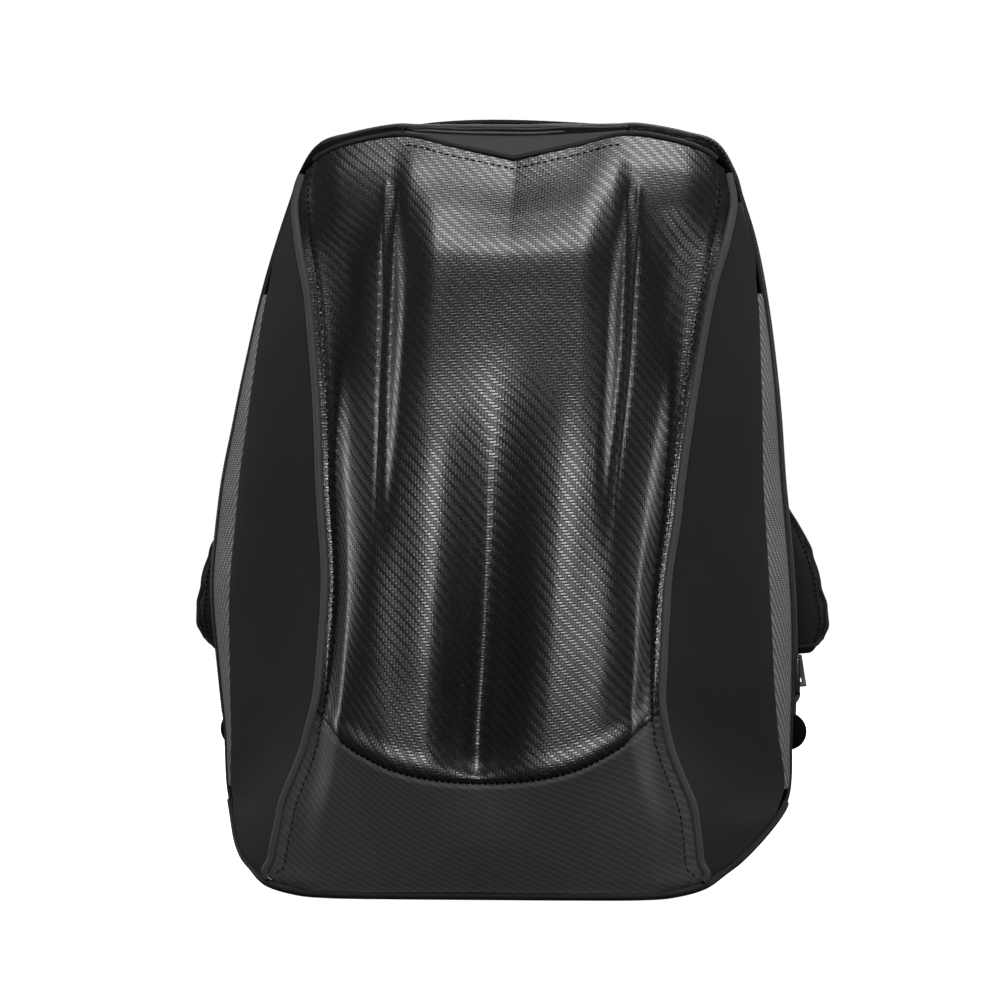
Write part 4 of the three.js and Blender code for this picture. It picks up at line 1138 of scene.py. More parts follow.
class Graph:
    """A material's nodes, built with plain calls."""

    def __init__(self, name: str) -> None:
        """Starts an empty material.

        Args:
            name: The material's name.
        """
        self.material = bpy.data.materials.new(name)
        self.material.use_nodes = True
        self.tree = self.material.node_tree
        self.shader = self.tree.nodes["Principled BSDF"]

    def node(self, kind: str) -> bpy.types.Node:
        """Adds a node of a kind."""
        return self.tree.nodes.new(kind)

    def join(self, value: object, socket: Socket) -> None:
        """Links a socket to another, or sets it to a number or colour."""
        if isinstance(value, Socket):
            self.tree.links.new(value, socket)
        else:
            socket.default_value = value

    def math(self, operation: str, *values: object) -> Socket:
        """One step of arithmetic.

        Args:
            operation: Blender's name of the operation.
            values: Sockets or numbers.

        Returns:
            The result's socket.
        """
        node = self.node("ShaderNodeMath")
        node.operation = operation
        for socket, value in zip(node.inputs, values):
            self.join(value, socket)
        return node.outputs[0]

    def place(self, source: Coordinates) -> Socket:
        """The coordinates that a pattern follows, in metres.

        Args:
            source: What the pattern follows.

        Returns:
            The coordinates' socket.
        """
        if source is Coordinates.SHEET:
            node = self.node("ShaderNodeUVMap")
            node.uv_map = source.value
            return node.outputs["UV"]
        return self.node("ShaderNodeTexCoord").outputs["Object"]

    def wave(self, value: Socket, factor: float) -> Socket:
        """The sine of a value times a factor."""
        return self.math("SINE", self.math("MULTIPLY", value, factor))

    def halved(self, value: Socket) -> Socket:
        """Maps values from -1 to 1 onto 0 to 1."""
        return self.math("MULTIPLY_ADD", value, 0.5, 0.5)

    def clamped(self, value: Socket) -> Socket:
        """Keeps a value from 0 to 1."""
        return self.math("MINIMUM", self.math("MAXIMUM", value, 0.0), 1.0)

    def turned(self, vector: Socket, degrees: float, stretch: Sequence[float]) -> Socket:
        """Turns coordinates about z and then scales each axis.

        Args:
            vector: The coordinates.
            degrees: How far they turn.
            stretch: What each axis is multiplied by.

        Returns:
            The new coordinates.
        """
        turn = self.node("ShaderNodeVectorRotate")
        turn.rotation_type = "Z_AXIS"
        self.join(vector, turn.inputs["Vector"])
        turn.inputs["Angle"].default_value = math.radians(degrees)
        scale = self.node("ShaderNodeVectorMath")
        scale.operation = "MULTIPLY"
        self.join(turn.outputs[0], scale.inputs[0])
        scale.inputs[1].default_value = tuple(stretch)
        return scale.outputs[0]

    def split(self, vector: Socket) -> tuple[Socket, ...]:
        """The x, y and z of a vector."""
        node = self.node("ShaderNodeSeparateXYZ")
        self.join(vector, node.inputs[0])
        return tuple(node.outputs)

    def noise(self, vector: Socket, size: float, detail: float = 3.0) -> Socket:
        """Cloudy noise from 0 to 1.

        Args:
            vector: The coordinates it follows.
            size: The size of its lumps.
            detail: How many finer layers it has.

        Returns:
            The noise's socket.
        """
        node = self.node("ShaderNodeTexNoise")
        self.join(vector, node.inputs["Vector"])
        node.inputs["Scale"].default_value = 1 / size
        node.inputs["Detail"].default_value = detail
        return node.outputs[0]

    def range(self, value: Socket, low: float, high: float, to_low: float, to_high: float) -> Socket:
        """Maps one span of values to another.

        Args:
            value: The values.
            low: Where their span starts.
            high: Where it ends.
            to_low: What the start becomes.
            to_high: What the end becomes.

        Returns:
            The mapped values.
        """
        node = self.node("ShaderNodeMapRange")
        for socket, number in zip(node.inputs[1:5], (low, high, to_low, to_high)):
            socket.default_value = number
        self.join(value, node.inputs[0])
        return node.outputs[0]

    def uneven(self, noise: Socket, low: float, high: float) -> Socket:
        """Maps cloudy noise, which mostly lies from 0.3 to 0.7, onto a span."""
        return self.range(noise, 0.3, 0.7, low, high)

    def blend(self, factor: object, first: object, second: object) -> Socket:
        """Mixes two colours.

        Args:
            factor: How much of the second colour shows.
            first: A colour or its socket.
            second: Another.

        Returns:
            The mixed colour.
        """
        node = self.node("ShaderNodeMix")
        node.data_type = "RGBA"
        self.join(factor, node.inputs[0])
        self.join(first, node.inputs[6])
        self.join(second, node.inputs[7])
        return node.outputs[2]

    def bump(self, height: Socket, depth: float, before: Socket | None = None) -> Socket:
        """Makes relief out of a pattern.

        Args:
            height: The pattern, from 0 to 1.
            depth: The relief's depth.
            before: An earlier relief that it lies on.

        Returns:
            The relief's socket.
        """
        node = self.node("ShaderNodeBump")
        node.inputs["Strength"].default_value = 1.0
        node.inputs["Distance"].default_value = depth
        self.join(height, node.inputs["Height"])
        if before is not None:
            self.join(before, node.inputs["Normal"])
        return node.outputs[0]

    def done(
        self, colour: object, roughness: object, normal: object, settings: dict[str, object]
    ) -> Material:
        """Joins the results to the shader.

        Args:
            colour: The colour or its socket.
            roughness: The roughness or its socket.
            normal: The relief's socket, or None.
            settings: Numbers for the shader's own sockets, by name.

        Returns:
            The material.
        """
        self.join(colour, self.shader.inputs["Base Color"])
        self.join(roughness, self.shader.inputs["Roughness"])
        if normal is not None:
            self.join(normal, self.shader.inputs["Normal"])
        for name, value in settings.items():
            self.shader.inputs[name].default_value = value
        return self.material


def grey(level: float, warmth: float = 0.0) -> Colour:
    """A near-neutral colour: warmth above 0 leans to red and below 0 to blue."""
    return (level * (1 + warmth), level * (1 - abs(warmth) / 2), level * (1 - warmth), 1.0)


def shaded(colour: Colour, factor: float, lift: float = 0.0) -> Colour:
    """A colour made lighter or darker by a factor and then lifted."""
    return tuple(min(part * factor + lift, 1.0) for part in colour[:3]) + (1.0,)


@dataclass(frozen=True)
class TwillSheet:
    """Carbon-look sheet: two sets of flat tows woven two over, two under, with painted sheen and shade.

    Attributes:
        name: The material's name.
        tow: The width of one tow.
        angle: How far the tows are turned in the sheet, in degrees.
        level: The warp's grey.
        weft_level: The weft's grey, lifted by a painted sheen for the tows' different reflections.
        relief: The tows' height.
        roughness: The weft's roughness.
        contrast: How much rougher the warp is.
        specular: The strength of the sheet's reflections, where 0.5 is plain plastic.
    """

    name: str
    tow: float
    angle: float
    level: float
    weft_level: float
    relief: float
    roughness: float
    contrast: float
    specular: float

    def material(self) -> Material:
        """Builds the weave's nodes.

        Returns:
            The material.
        """
        g = Graph(self.name)
        plan = g.place(Coordinates.SHEET)
        scale = 1 / self.tow
        x, y, _ = g.split(g.turned(plan, self.angle, (scale, scale, scale)))
        across, up = g.math("FRACT", x), g.math("FRACT", y)
        number = g.math("ADD", g.math("FLOOR", x), g.math("FLOOR", y))
        phase = g.math("FLOORED_MODULO", number, 4.0)
        warp = g.math("LESS_THAN", phase, 1.5)
        warp_height = g.math("MULTIPLY", self._crown(g, across), self._float(g, phase, up, 0.0))
        weft_height = g.math("MULTIPLY", self._crown(g, up), self._float(g, phase, across, 2.0))
        on_top = g.math("MULTIPLY", warp_height, warp)
        below = g.math("MULTIPLY", weft_height, g.math("SUBTRACT", 1.0, warp))
        height = g.math("ADD", on_top, below)
        cloud = g.noise(plan, 40 * MM)
        fibre = g.noise(g.turned(plan, self.angle, (1, 0.12, 1)), 0.35 * MM, 1.0)
        tone = g.math("MULTIPLY", height, g.uneven(cloud, 0.85, 1.1))
        # Painted shade: each tow's colour darkens from its crown towards its edges and dipping ends, and the
        # cloud adds uneven tone.
        gap = grey(self.level * 0.3, -0.02)
        warp_colour = g.blend(tone, gap, grey(self.level, -0.02))
        # The weft's lighter grey is a painted sheen, standing in for the tows' different reflections.
        weft_colour = g.blend(tone, gap, grey(self.weft_level, -0.02))
        colour = g.blend(warp, weft_colour, warp_colour)
        matt = g.math("MULTIPLY_ADD", warp, self.contrast, self.roughness)
        roughness = g.math("ADD", matt, g.uneven(fibre, -0.04, 0.04))
        normal = g.bump(height, self.relief)
        settings = {"IOR": 1.5, "Specular IOR Level": self.specular}
        return g.done(colour, roughness, normal, settings)

    @staticmethod
    def _crown(g: Graph, across: Socket) -> Socket:
        """A tow's rounded section, from its place across."""
        away = g.math("MULTIPLY_ADD", across, 2.0, -1.0)
        return g.math("SQRT", g.math("MAXIMUM", g.math("SUBTRACT", 1.0, g.math("MULTIPLY", away, away)), 0.0))

    @staticmethod
    def _float(g: Graph, phase: Socket, along: Socket, first: float) -> Socket:
        """How a tow dips at both ends of the stretch where it lies on top."""
        share = g.math("MULTIPLY", g.math("ADD", g.math("SUBTRACT", phase, first), along), 0.5)
        return g.math("POWER", g.wave(g.clamped(share), math.pi), 0.35)


@dataclass(frozen=True)
class WovenCloth:
    """Plain cloth with a fine weave, small creases, uneven wear, and painted shade and light that follow the
    weave.

    Attributes:
        name: The material's name.
        colour: The cloth's own colour.
        thread: The weave's spacing.
        relief: The weave's depth.
        crumple: The depth of the small creases.
        roughness: How matt it is.
        specular: The strength of its reflections, where 0.5 is plain plastic.
        follows: What the weave follows.
    """

    name: str
    colour: Colour
    thread: float
    relief: float
    crumple: float
    roughness: float
    specular: float
    follows: Coordinates = Coordinates.SHEET

    def material(self) -> Material:
        """Builds the cloth's nodes.

        Returns:
            The material.
        """
        g = Graph(self.name)
        place = g.place(self.follows)
        turn = math.pi / self.thread
        x, y, z = g.split(place)
        if self.follows is Coordinates.BODY:
            x = g.math("ADD", x, g.math("MULTIPLY", y, 0.7))
            y = g.math("ADD", z, g.math("MULTIPLY", y, 0.7))
        weave = g.halved(g.math("MULTIPLY", g.wave(x, turn), g.wave(y, turn)))
        cloud = g.noise(place, 30 * MM)
        fine = g.noise(place, 0.8 * MM, 2.0)
        # Painted shade and light: the colour is darker in the weave's hollows and lighter on its crossings;
        # the cloud adds uneven wear.
        tone = g.math("ADD", g.math("MULTIPLY", weave, 0.55), g.math("MULTIPLY", cloud, 0.45))
        colour = g.blend(tone, shaded(self.colour, 0.72), shaded(self.colour, 1.3))
        roughness = g.uneven(fine, self.roughness - 0.06, self.roughness + 0.06)
        normal = g.bump(g.noise(place, 9 * MM, 4.0), self.crumple)
        normal = g.bump(weave, self.relief, normal)
        return g.done(colour, roughness, normal, {"Specular IOR Level": self.specular})


@dataclass(frozen=True)
class RibbedTape:
    """Webbing and binding: ribs across the length.

    Attributes:
        name: The material's name.
        colour: The tape's colour.
        rib: The ribs' spacing.
        relief: The ribs' depth.
        roughness: How matt it is.
        follows: What the ribs follow: the sheet's length, or the body's height.
    """

    name: str
    colour: Colour
    rib: float
    relief: float
    roughness: float
    follows: Coordinates = Coordinates.SHEET

    def material(self) -> Material:
        """Builds the tape's nodes.

        Returns:
            The material.
        """
        g = Graph(self.name)
        place = g.place(self.follows)
        x, y, z = g.split(place)
        if self.follows is Coordinates.BODY:
            y = z
        ribs = g.halved(g.wave(y, 2 * math.pi / self.rib))
        threads = g.halved(g.wave(x, 2 * math.pi / (self.rib * 0.6)))
        fine = g.noise(place, 0.6 * MM, 2.0)
        height = g.math("ADD", g.math("MULTIPLY", ribs, 0.7), g.math("MULTIPLY", threads, 0.3))
        # Painted shade and light: the colour is darker in the ribs' troughs and lighter on their crests.
        colour = g.blend(height, shaded(self.colour, 0.6), shaded(self.colour, 1.35))
        roughness = g.uneven(fine, self.roughness - 0.08, self.roughness + 0.08)
        normal = g.bump(height, self.relief)
        return g.done(colour, roughness, normal, {"Specular IOR Level": 0.35})


@dataclass(frozen=True)
class Moulded:
    """Moulded plastic or painted metal with a fine grain and rubbed edges.

    Attributes:
        name: The material's name.
        colour: Its colour.
        roughness: How matt it is.
        grain: The depth of its grain.
        metallic: 1 for metal.
    """

    name: str
    colour: Colour
    roughness: float
    grain: float = 0.04 * MM
    metallic: float = 0.0

    def material(self) -> Material:
        """Builds the plastic's nodes.

        Returns:
            The material.
        """
        g = Graph(self.name)
        place = g.place(Coordinates.BODY)
        grain = g.noise(place, 0.7 * MM, 4.0)
        wear = g.noise(place, 12 * MM, 3.0)
        edge = g.node("ShaderNodeNewGeometry").outputs["Pointiness"]
        rubbed = g.math("MULTIPLY", g.range(edge, 0.52, 0.58, 0.0, 1.0), wear)
        colour = g.blend(rubbed, self.colour, shaded(self.colour, 2.2, 0.01))
        roughness = g.uneven(wear, self.roughness - 0.05, self.roughness + 0.08)
        return g.done(colour, roughness, g.bump(grain, self.grain), {"Metallic": self.metallic, "IOR": 1.5})


@dataclass(frozen=True)
class SpacerMesh:
    """Airy padded mesh: rows of small rounded holes, painted dark as the shade inside them.

    Attributes:
        name: The material's name.
        colour: The mesh's colour.
        hole: The spacing of the holes.
        relief: Their depth.
    """

    name: str
    colour: Colour
    hole: float
    relief: float

    def material(self) -> Material:
        """Builds the mesh's nodes.

        Returns:
            The material.
        """
        g = Graph(self.name)
        place = g.place(Coordinates.BODY)
        x, _, z = g.split(place)
        turn = 2 * math.pi / self.hole
        slope = g.math("MULTIPLY", z, 0.577)
        rising = g.wave(g.math("ADD", x, slope), turn)
        falling = g.wave(g.math("SUBTRACT", x, slope), turn)
        holes = g.range(g.math("MULTIPLY", rising, falling), 0.05, 0.6, 1.0, 0.0)
        fine = g.noise(place, 0.7 * MM, 3.0)
        # Painted shade: the holes are painted darker, where shade falls inside them.
        colour = g.blend(holes, shaded(self.colour, 0.25), self.colour)
        roughness = g.uneven(fine, 0.72, 0.92)
        normal = g.bump(holes, self.relief)
        return g.done(colour, roughness, normal, {"Specular IOR Level": 0.3})


class Finishes:
    """Every finish of the bag, made once and shared by its pieces."""

    def __init__(self) -> None:
        """Builds the materials."""
        soft, dull, body = 0.22, 0.06, Coordinates.BODY
        # Each twill's second level is its weft's grey, lifted by a painted sheen.
        self.front = self.twill("moulded_twill", 1.85, 0.0, (0.003, 0.015), 0.1, 0.23, 0.15, 0.6)
        self.chin = self.twill("chin_twill", 1.2, -18.0, (0.055, 0.08), 0.08, 0.55, 0.05, 0.4)
        self.band = self.twill("band_twill", 1.1, 20.0, (0.16, 0.38), 0.35, 0.55, 0.1, 0.25)
        self.neoprene = self.woven("neoprene", grey(0.014, -0.05), 0.7, 0.03, 0.1, 0.75, soft)
        # The insert's grey is lighter than the neoprene's: partly its own tone, partly painted light for the
        # light it catches from above.
        self.insert = self.woven("insert_cloth", grey(0.05, -0.04), 0.8, 0.03, 0.12, 0.75, soft)
        self.nylon = self.woven("coated_nylon", grey(0.003), 0.55, 0.06, 0.5, 0.6, dull)
        self.padding = self.woven("padded_nylon", grey(0.01), 0.7, 0.08, 0.35, 0.7, soft, body)
        self.piping = self.woven("piping_cloth", grey(0.055, -0.05), 0.6, 0.03, 0.08, 0.6, soft)
        self.thread = self.woven("sewing_thread", grey(0.002), 0.4, 0.03, 0.05, 0.8, dull, body)
        self.lip = self.woven("flap_lip", grey(0.09), 0.6, 0.03, 0.1, 0.6, soft)
        webbing = 1.6 * MM, 0.25 * MM, 0.55
        self.binding = RibbedTape("binding_tape", grey(0.005), 1.1 * MM, 0.12 * MM, 0.62).material()
        self.webbing = RibbedTape("webbing", grey(0.006), *webbing).material()
        self.hanging = RibbedTape("hanging_webbing", grey(0.006), *webbing, body).material()
        self.plastic = Moulded("moulded_acetal", grey(0.007), 0.38).material()
        self.painted = Moulded("painted_slider", grey(0.02), 0.3, 0.02 * MM, 0.6).material()
        self.mesh = SpacerMesh("spacer_mesh", grey(0.022), 3.2 * MM, 0.5 * MM).material()

    @staticmethod
    def twill(
        name: str, tow: float, angle: float, levels: tuple[float, float], relief: float, *surface: float
    ) -> Material:
        """Makes a twill from its lengths in millimetres, its warp grey, its weft grey with painted sheen, and
        its surface.
        """
        return TwillSheet(name, tow * MM, angle, *levels, relief * MM, *surface).material()

    @staticmethod
    def woven(
        name: str, colour: Colour, thread: float, relief: float, crumple: float,
        roughness: float, specular: float, follows: Coordinates = Coordinates.SHEET
    ) -> Material:
        """Makes a woven cloth from its lengths in millimetres and its surface."""
        lengths = thread * MM, relief * MM, crumple * MM
        return WovenCloth(name, colour, *lengths, roughness, specular, follows).material()


# Pieces


@dataclass(frozen=True)
class Stitch:
    """One kind of stitch.

    Attributes:
        pitch: From one stitch to the next.
        length: The length of a stitch.
        radius: Half the thread's thickness.
    """

    pitch: float
    length: float
    radius: float


@dataclass
class SubAssembly:
    """A group of pieces that is built and dressed together.

    Attributes:
        form: The bag's form.
        finishes: The bag's finishes.
        made: The pieces made so far.
    """

    form: BagForm
    finishes: Finishes
    made: list[Piece] = field(default_factory=list)

    def dress(self, piece: Piece, material: Material, slot: str, *nodes: str) -> Piece:
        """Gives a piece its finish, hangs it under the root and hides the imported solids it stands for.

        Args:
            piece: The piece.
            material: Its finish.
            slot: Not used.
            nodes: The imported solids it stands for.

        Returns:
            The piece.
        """
        if not piece.data.materials:
            piece.data.materials.append(material)
        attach(piece, "root")
        if nodes:
            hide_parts(*nodes)
        self.made.append(piece)
        return piece

    def spread(self, piece: Piece, grid: Array, held: str, *rests_on: str) -> None:
        """Works out the flat cut of a sheet of cloth, and does nothing more with it.

        Args:
            piece: Not used.
            grid: Its outer face.
            held: Not used.
            rests_on: Not used.
        """
        plan = cut_plan(grid)

    def stitches(self, name: str, route: Array, normal: Array, stitch: Stitch, slot: str) -> Piece:
        """Sews a row of stitches along a route on a surface.

        Args:
            name: The piece's name.
            route: Points of the row.
            normal: The surface's normals there.
            stitch: The kind of stitch.
            slot: Passed on to dress.

        Returns:
            The piece.
        """
        distance = distance_along(route)
        points: list[Array] = []
        faces: list[list[int]] = []
        sides = 6
        shares = np.array([0.0, 0.12, 0.5, 0.88, 1.0])
        lift = np.array([-0.6, 0.35, 0.8, 0.35, -0.6]) * stitch.radius
        girth = np.array([0.45, 0.9, 1.0, 0.9, 0.45]) * stitch.radius
        for start in np.arange(stitch.pitch / 2, distance[-1] - stitch.length, stitch.pitch):
            at = start + shares * stitch.length
            line, up = route_at(route, distance, at), route_at(normal, distance, at)
            rings = cord_rings(line + up * lift[:, None], girth, sides, up.mean(axis=0))
            index = np.arange(len(shares) * sides).reshape(-1, sides)
            faces += tube_faces(index + len(points) * len(shares) * sides)
            points.append(rings.reshape(-1, 3))
        piece = build_object(name, np.concatenate(points), faces)
        return self.dress(piece, self.finishes.thread, slot)


@dataclass
class MouldedFront(SubAssembly):
    """The hard front: one moulded twill sheet with its chin, creases and stitching.

    Attributes:
        thickness: The sheet's thickness.
        groove: The depth of the crease over the chin, and about half its width.
        lip: How far the sheet swells above the crease.
        panel_crease: How far the crease at the foot of the panel's slope stands out.
        panel_hollow: How deep the hollow beside it is.
        valley: How much deeper the valley between the two lobes runs.
        valley_half: Half the valley's width.
        fold: The depth of the sharp fold in its middle.
        fold_half: Half that fold's width.
        seam_depth: How deep the side seams lie.
        pucker: How far the sheet puckers between their stitches.
        dent: The height of the soft dents.
        ripple: The height of the small ripples.
        tuck: How far the sheet's foot goes down behind the binding.
        seam: The side seams' stitches.
        seam_offset: How far they stand from the piping's edge.
    """

    thickness: float = 3 * MM
    groove: float = 1.8 * MM
    lip: float = 1.0 * MM
    panel_crease: float = 1.1 * MM
    panel_hollow: float = 1.0 * MM
    valley: float = 6.5 * MM
    valley_half: float = 21 * MM
    fold: float = 2.8 * MM
    fold_half: float = 6 * MM
    seam_depth: float = 0.8 * MM
    pucker: float = 0.3 * MM
    dent: float = 0.6 * MM
    ripple: float = 0.2 * MM
    tuck: float = 2.4 * MM
    seam: Stitch = Stitch(4.2 * MM, 2.7 * MM, 0.4 * MM)
    seam_offset: float = 3.4 * MM

    def shares_across(self) -> Array:
        """Places across the shell, closer together on the bevels and near the edges.

        Returns:
            Shares from -1 to 1.
        """
        half = np.concatenate([
            np.linspace(0, 0.4, 27)[:-1],
            np.linspace(0.4, 0.62, 25)[:-1],
            np.linspace(0.62, 0.9, 19)[:-1],
            np.linspace(0.9, 1, 9),
        ])
        return np.concatenate([-half[:0:-1], half])

    def heights(self) -> Array:
        """Reference heights up the shell, closer together at the crease and near the top.

        Returns:
            The heights, from the foot up.
        """
        f = self.form
        near = 6 * MM
        fine_from = 380 * MM
        return np.concatenate([
            np.linspace(f.shell_foot - self.tuck, f.crease_height - near, 26)[:-1],
            np.linspace(f.crease_height - near, f.crease_height + near, 17)[:-1],
            np.linspace(f.crease_height + near, fine_from, 120)[:-1],
            np.linspace(fine_from, f.shell_top - 0.7 * f.top_welt_seat, 52),
        ])

    def relief(self, share: Array, height: Array, edge: Array) -> Array:
        """How far the creases, seams and soft dents stand out of the plain form.

        Args:
            share: Places across the shell, from -1 to 1.
            height: Reference heights.
            edge: How far the shell's edge stands from the middle at each height.

        Returns:
            The distance out of the plain form.
        """
        f = self.form
        s = np.abs(share)
        from_crease = height - f.crease_height
        fade = 1 - smoothstep(s, 0.86, 0.95)
        crease = -self.groove * ridge(from_crease, self.groove) * fade
        swell = self.lip * ridge(from_crease - 8 * MM, 5 * MM) * fade
        run = smoothstep(height, 190 * MM, 300 * MM) * (1 - smoothstep(height, 432 * MM, 446 * MM))
        foot = self.panel_crease * ridge((s - 0.6) * edge, 1.5 * MM) * run
        beside = -self.panel_hollow * ridge((s - 0.55) * edge, 3.0 * MM) * run
        narrow = smoothstep(height, f.crease_height, 100 * MM) * clamp01((340 * MM - height) / (240 * MM))
        from_valley = np.sqrt((share * edge + 3 * MM) ** 2 + (0.3 * MM) ** 2)
        valley = -self.valley * smoothstep(1 - from_valley / self.valley_half, -0.2, 1.2) * narrow * 1.3
        sharp = smoothstep(height, f.crease_height, 90 * MM) * clamp01((270 * MM - height) / (180 * MM))
        fold = -self.fold * np.maximum(0, 1 - from_valley / self.fold_half) * sharp
        seam = -self.seam_depth * ridge((1 - s) * edge - f.welt_seat - self.seam_offset, 1.5 * MM)
        waves = np.sin(height / self.seam.pitch * 2 * np.pi)
        pucker = self.pucker * waves * smoothstep(s, 0.85, 0.97)
        dents = SoftNoise(3).read(share * 3.1, height / 0.07) * self.dent
        dents = dents + SoftNoise(8).read(share * 7, height / 0.03) * self.ripple
        soft = dents * smoothstep(1 - s, 0.02, 0.2)
        return crease + swell + foot + beside + valley + fold + seam + pucker + soft

    def build(self) -> None:
        """Makes the sheet and its seams."""
        f = self.form
        share, height = np.meshgrid(self.shares_across(), self.heights())
        edge = f.edge_half(f.shell_height(1.0, height))
        seat = 0.72 - 0.5 * (1 - smoothstep(height, 45 * MM, 75 * MM))
        share = share * (1 - seat * f.welt_seat / edge)
        grid = f.placed(f.shell(share, height))
        grid = grid + normals_of(grid) * self.relief(share, height, edge)[..., None]
        piece = cloth_piece("moulded_front", grid, self.thickness)
        for finish in (self.finishes.front, self.finishes.chin):
            piece.data.materials.append(finish)
        in_chin = np.repeat(self.heights()[:-1] < f.crease_height - 0.5 * MM, grid.shape[1] - 1)
        index = np.zeros(len(piece.data.polygons), int)
        index[:len(in_chin)] = in_chin
        piece.data.polygons.foreach_set("material_index", index)
        self.dress(piece, self.finishes.front, "shell", "front_shell")
        self.sew(grid, share, height, edge)

    def sew(self, grid: Array, share: Array, height: Array, edge: Array) -> None:
        """Sews the rows of dark stitches: under the notch, beside both pipings and along the crease.

        Args:
            grid: The sheet's outer face.
            share: The places across of its points.
            height: Their reference heights.
            edge: How far the shell's edge stands from the middle at each point.
        """
        f = self.form
        normal = normals_of(grid)
        half = grid.shape[1] // 2
        rows = (("notch_stitching", f.shell_top - f.top_welt_seat - 5 * MM, 40,
                 Stitch(4.2 * MM, 2.9 * MM, 0.45 * MM)),
                ("crease_stitching", f.crease_height, half - 14, Stitch(3.7 * MM, 2.5 * MM, 0.55 * MM)))
        for name, level, reach, stitch in rows:
            row = int(np.argmin(np.abs(self.heights() - level)))
            span = slice(half - reach, half + reach + 1)
            self.stitches(name, grid[row, span], normal[row, span], stitch, "shell")
        inset = (1 - np.abs(share)) * edge - f.welt_seat - self.seam_offset
        every = np.arange(len(grid))
        kept = slice(int(np.argmax(height[:, 0] > f.shell_foot + self.seam_offset / 2)), len(grid) - 6)
        for side in Side:
            part = slice(0, half) if side is Side.LEFT else slice(half, grid.shape[1])
            nearest = np.argmin(np.abs(inset[:, part]), axis=1)
            route, up = grid[:, part][every, nearest], normal[:, part][every, nearest]
            self.stitches(f"seam_stitching_{side.label}", route[kept], up[kept], self.seam, "shell")


@dataclass
class Trim(SubAssembly):
    """The piped seams beside the shell, the welt over it and the bound foot.

    Attributes:
        spacing: How far apart the sections of a cord are.
        welt_reach: How far across the top welt runs, as a share of the shell.
        rim_radius: Half the thickness of the rim's binding.
    """

    spacing: float = 2 * MM
    welt_reach: float = 0.95
    rim_radius: float = 1.5 * MM

    def build(self) -> None:
        """Makes every cord and binding."""
        self.piped_seams()
        self.notch_welt()
        self.bound_foot()
        self.bound_rim()

    def piped_seams(self) -> None:
        """Covers the cords down both sides of the shell."""
        f = self.form
        heights = np.linspace(f.edge_foot - 1 * MM, f.edge_top - 0.3 * f.welt_seat, 160)
        seam = f.shell(1.0, f.reference_for(heights))
        for side in Side:
            route = even_route(f.placed(seam * side.mirror), self.spacing)
            noise = SoftNoise(11 + side.value).read(np.arange(len(route)) * 0.12, 0.0)
            radius = f.piping_radius * (1.1 + 0.05 * noise)
            piece = lofted(f"piped_seam_{side.label}", cord_rings(route, radius, 16, (0, 1, 0)))
            self.dress(piece, self.finishes.piping, "piping", f"piping_{side.label}")

    def notch_welt(self) -> None:
        """Rolls the black welt along the shell's top edge."""
        f = self.form
        route = f.placed(f.shell(np.linspace(-self.welt_reach, self.welt_reach, 241), f.shell_top))
        route = even_route(route, 1.5 * MM)
        piece = lofted("notch_welt", cord_rings(route, f.top_welt_radius * 1.05, 12, (0, 1, 0)))
        self.dress(piece, self.finishes.binding, "trim", "shell_top_welt")

    def bound_foot(self) -> None:
        """Binds the shell's foot and both lower corners."""
        f = self.form
        foot = f.shell(np.linspace(-1, 1, 61), f.shell_foot)
        foot = foot + np.array([0, 1.5 * MM, -f.binding_radius - 2 * f.gap])
        top = f.station_at(64 * MM) - 0.4
        corner = f.ring(0.5, np.linspace(0.45, top, 16))
        control = np.concatenate([corner[::-1] * Side.LEFT.mirror, foot[::4], corner])
        route = even_route(f.placed(through(control, np.linspace(0, 1, 500))), self.spacing)
        piece = lofted("bound_foot", cord_rings(route, f.binding_radius, 14, (0, 0.3, 1)))
        self.dress(piece, self.finishes.binding, "trim", "base_binding")

    def bound_rim(self) -> None:
        """Binds the rim where the bands, yokes and flap meet the rear ring."""
        f = self.form
        stations = f.stations_over(f.station_at(40 * MM), 500)
        route = even_route(f.placed(f.ring(0.5, stations)), self.spacing)
        noise = SoftNoise(13).read(np.arange(len(route)) * 0.1, 0.0)
        piece = lofted("bound_rim", cord_rings(route, self.rim_radius * (1 + 0.1 * noise), 10, (0, 1, 0)))
        self.dress(piece, self.finishes.binding, "trim")


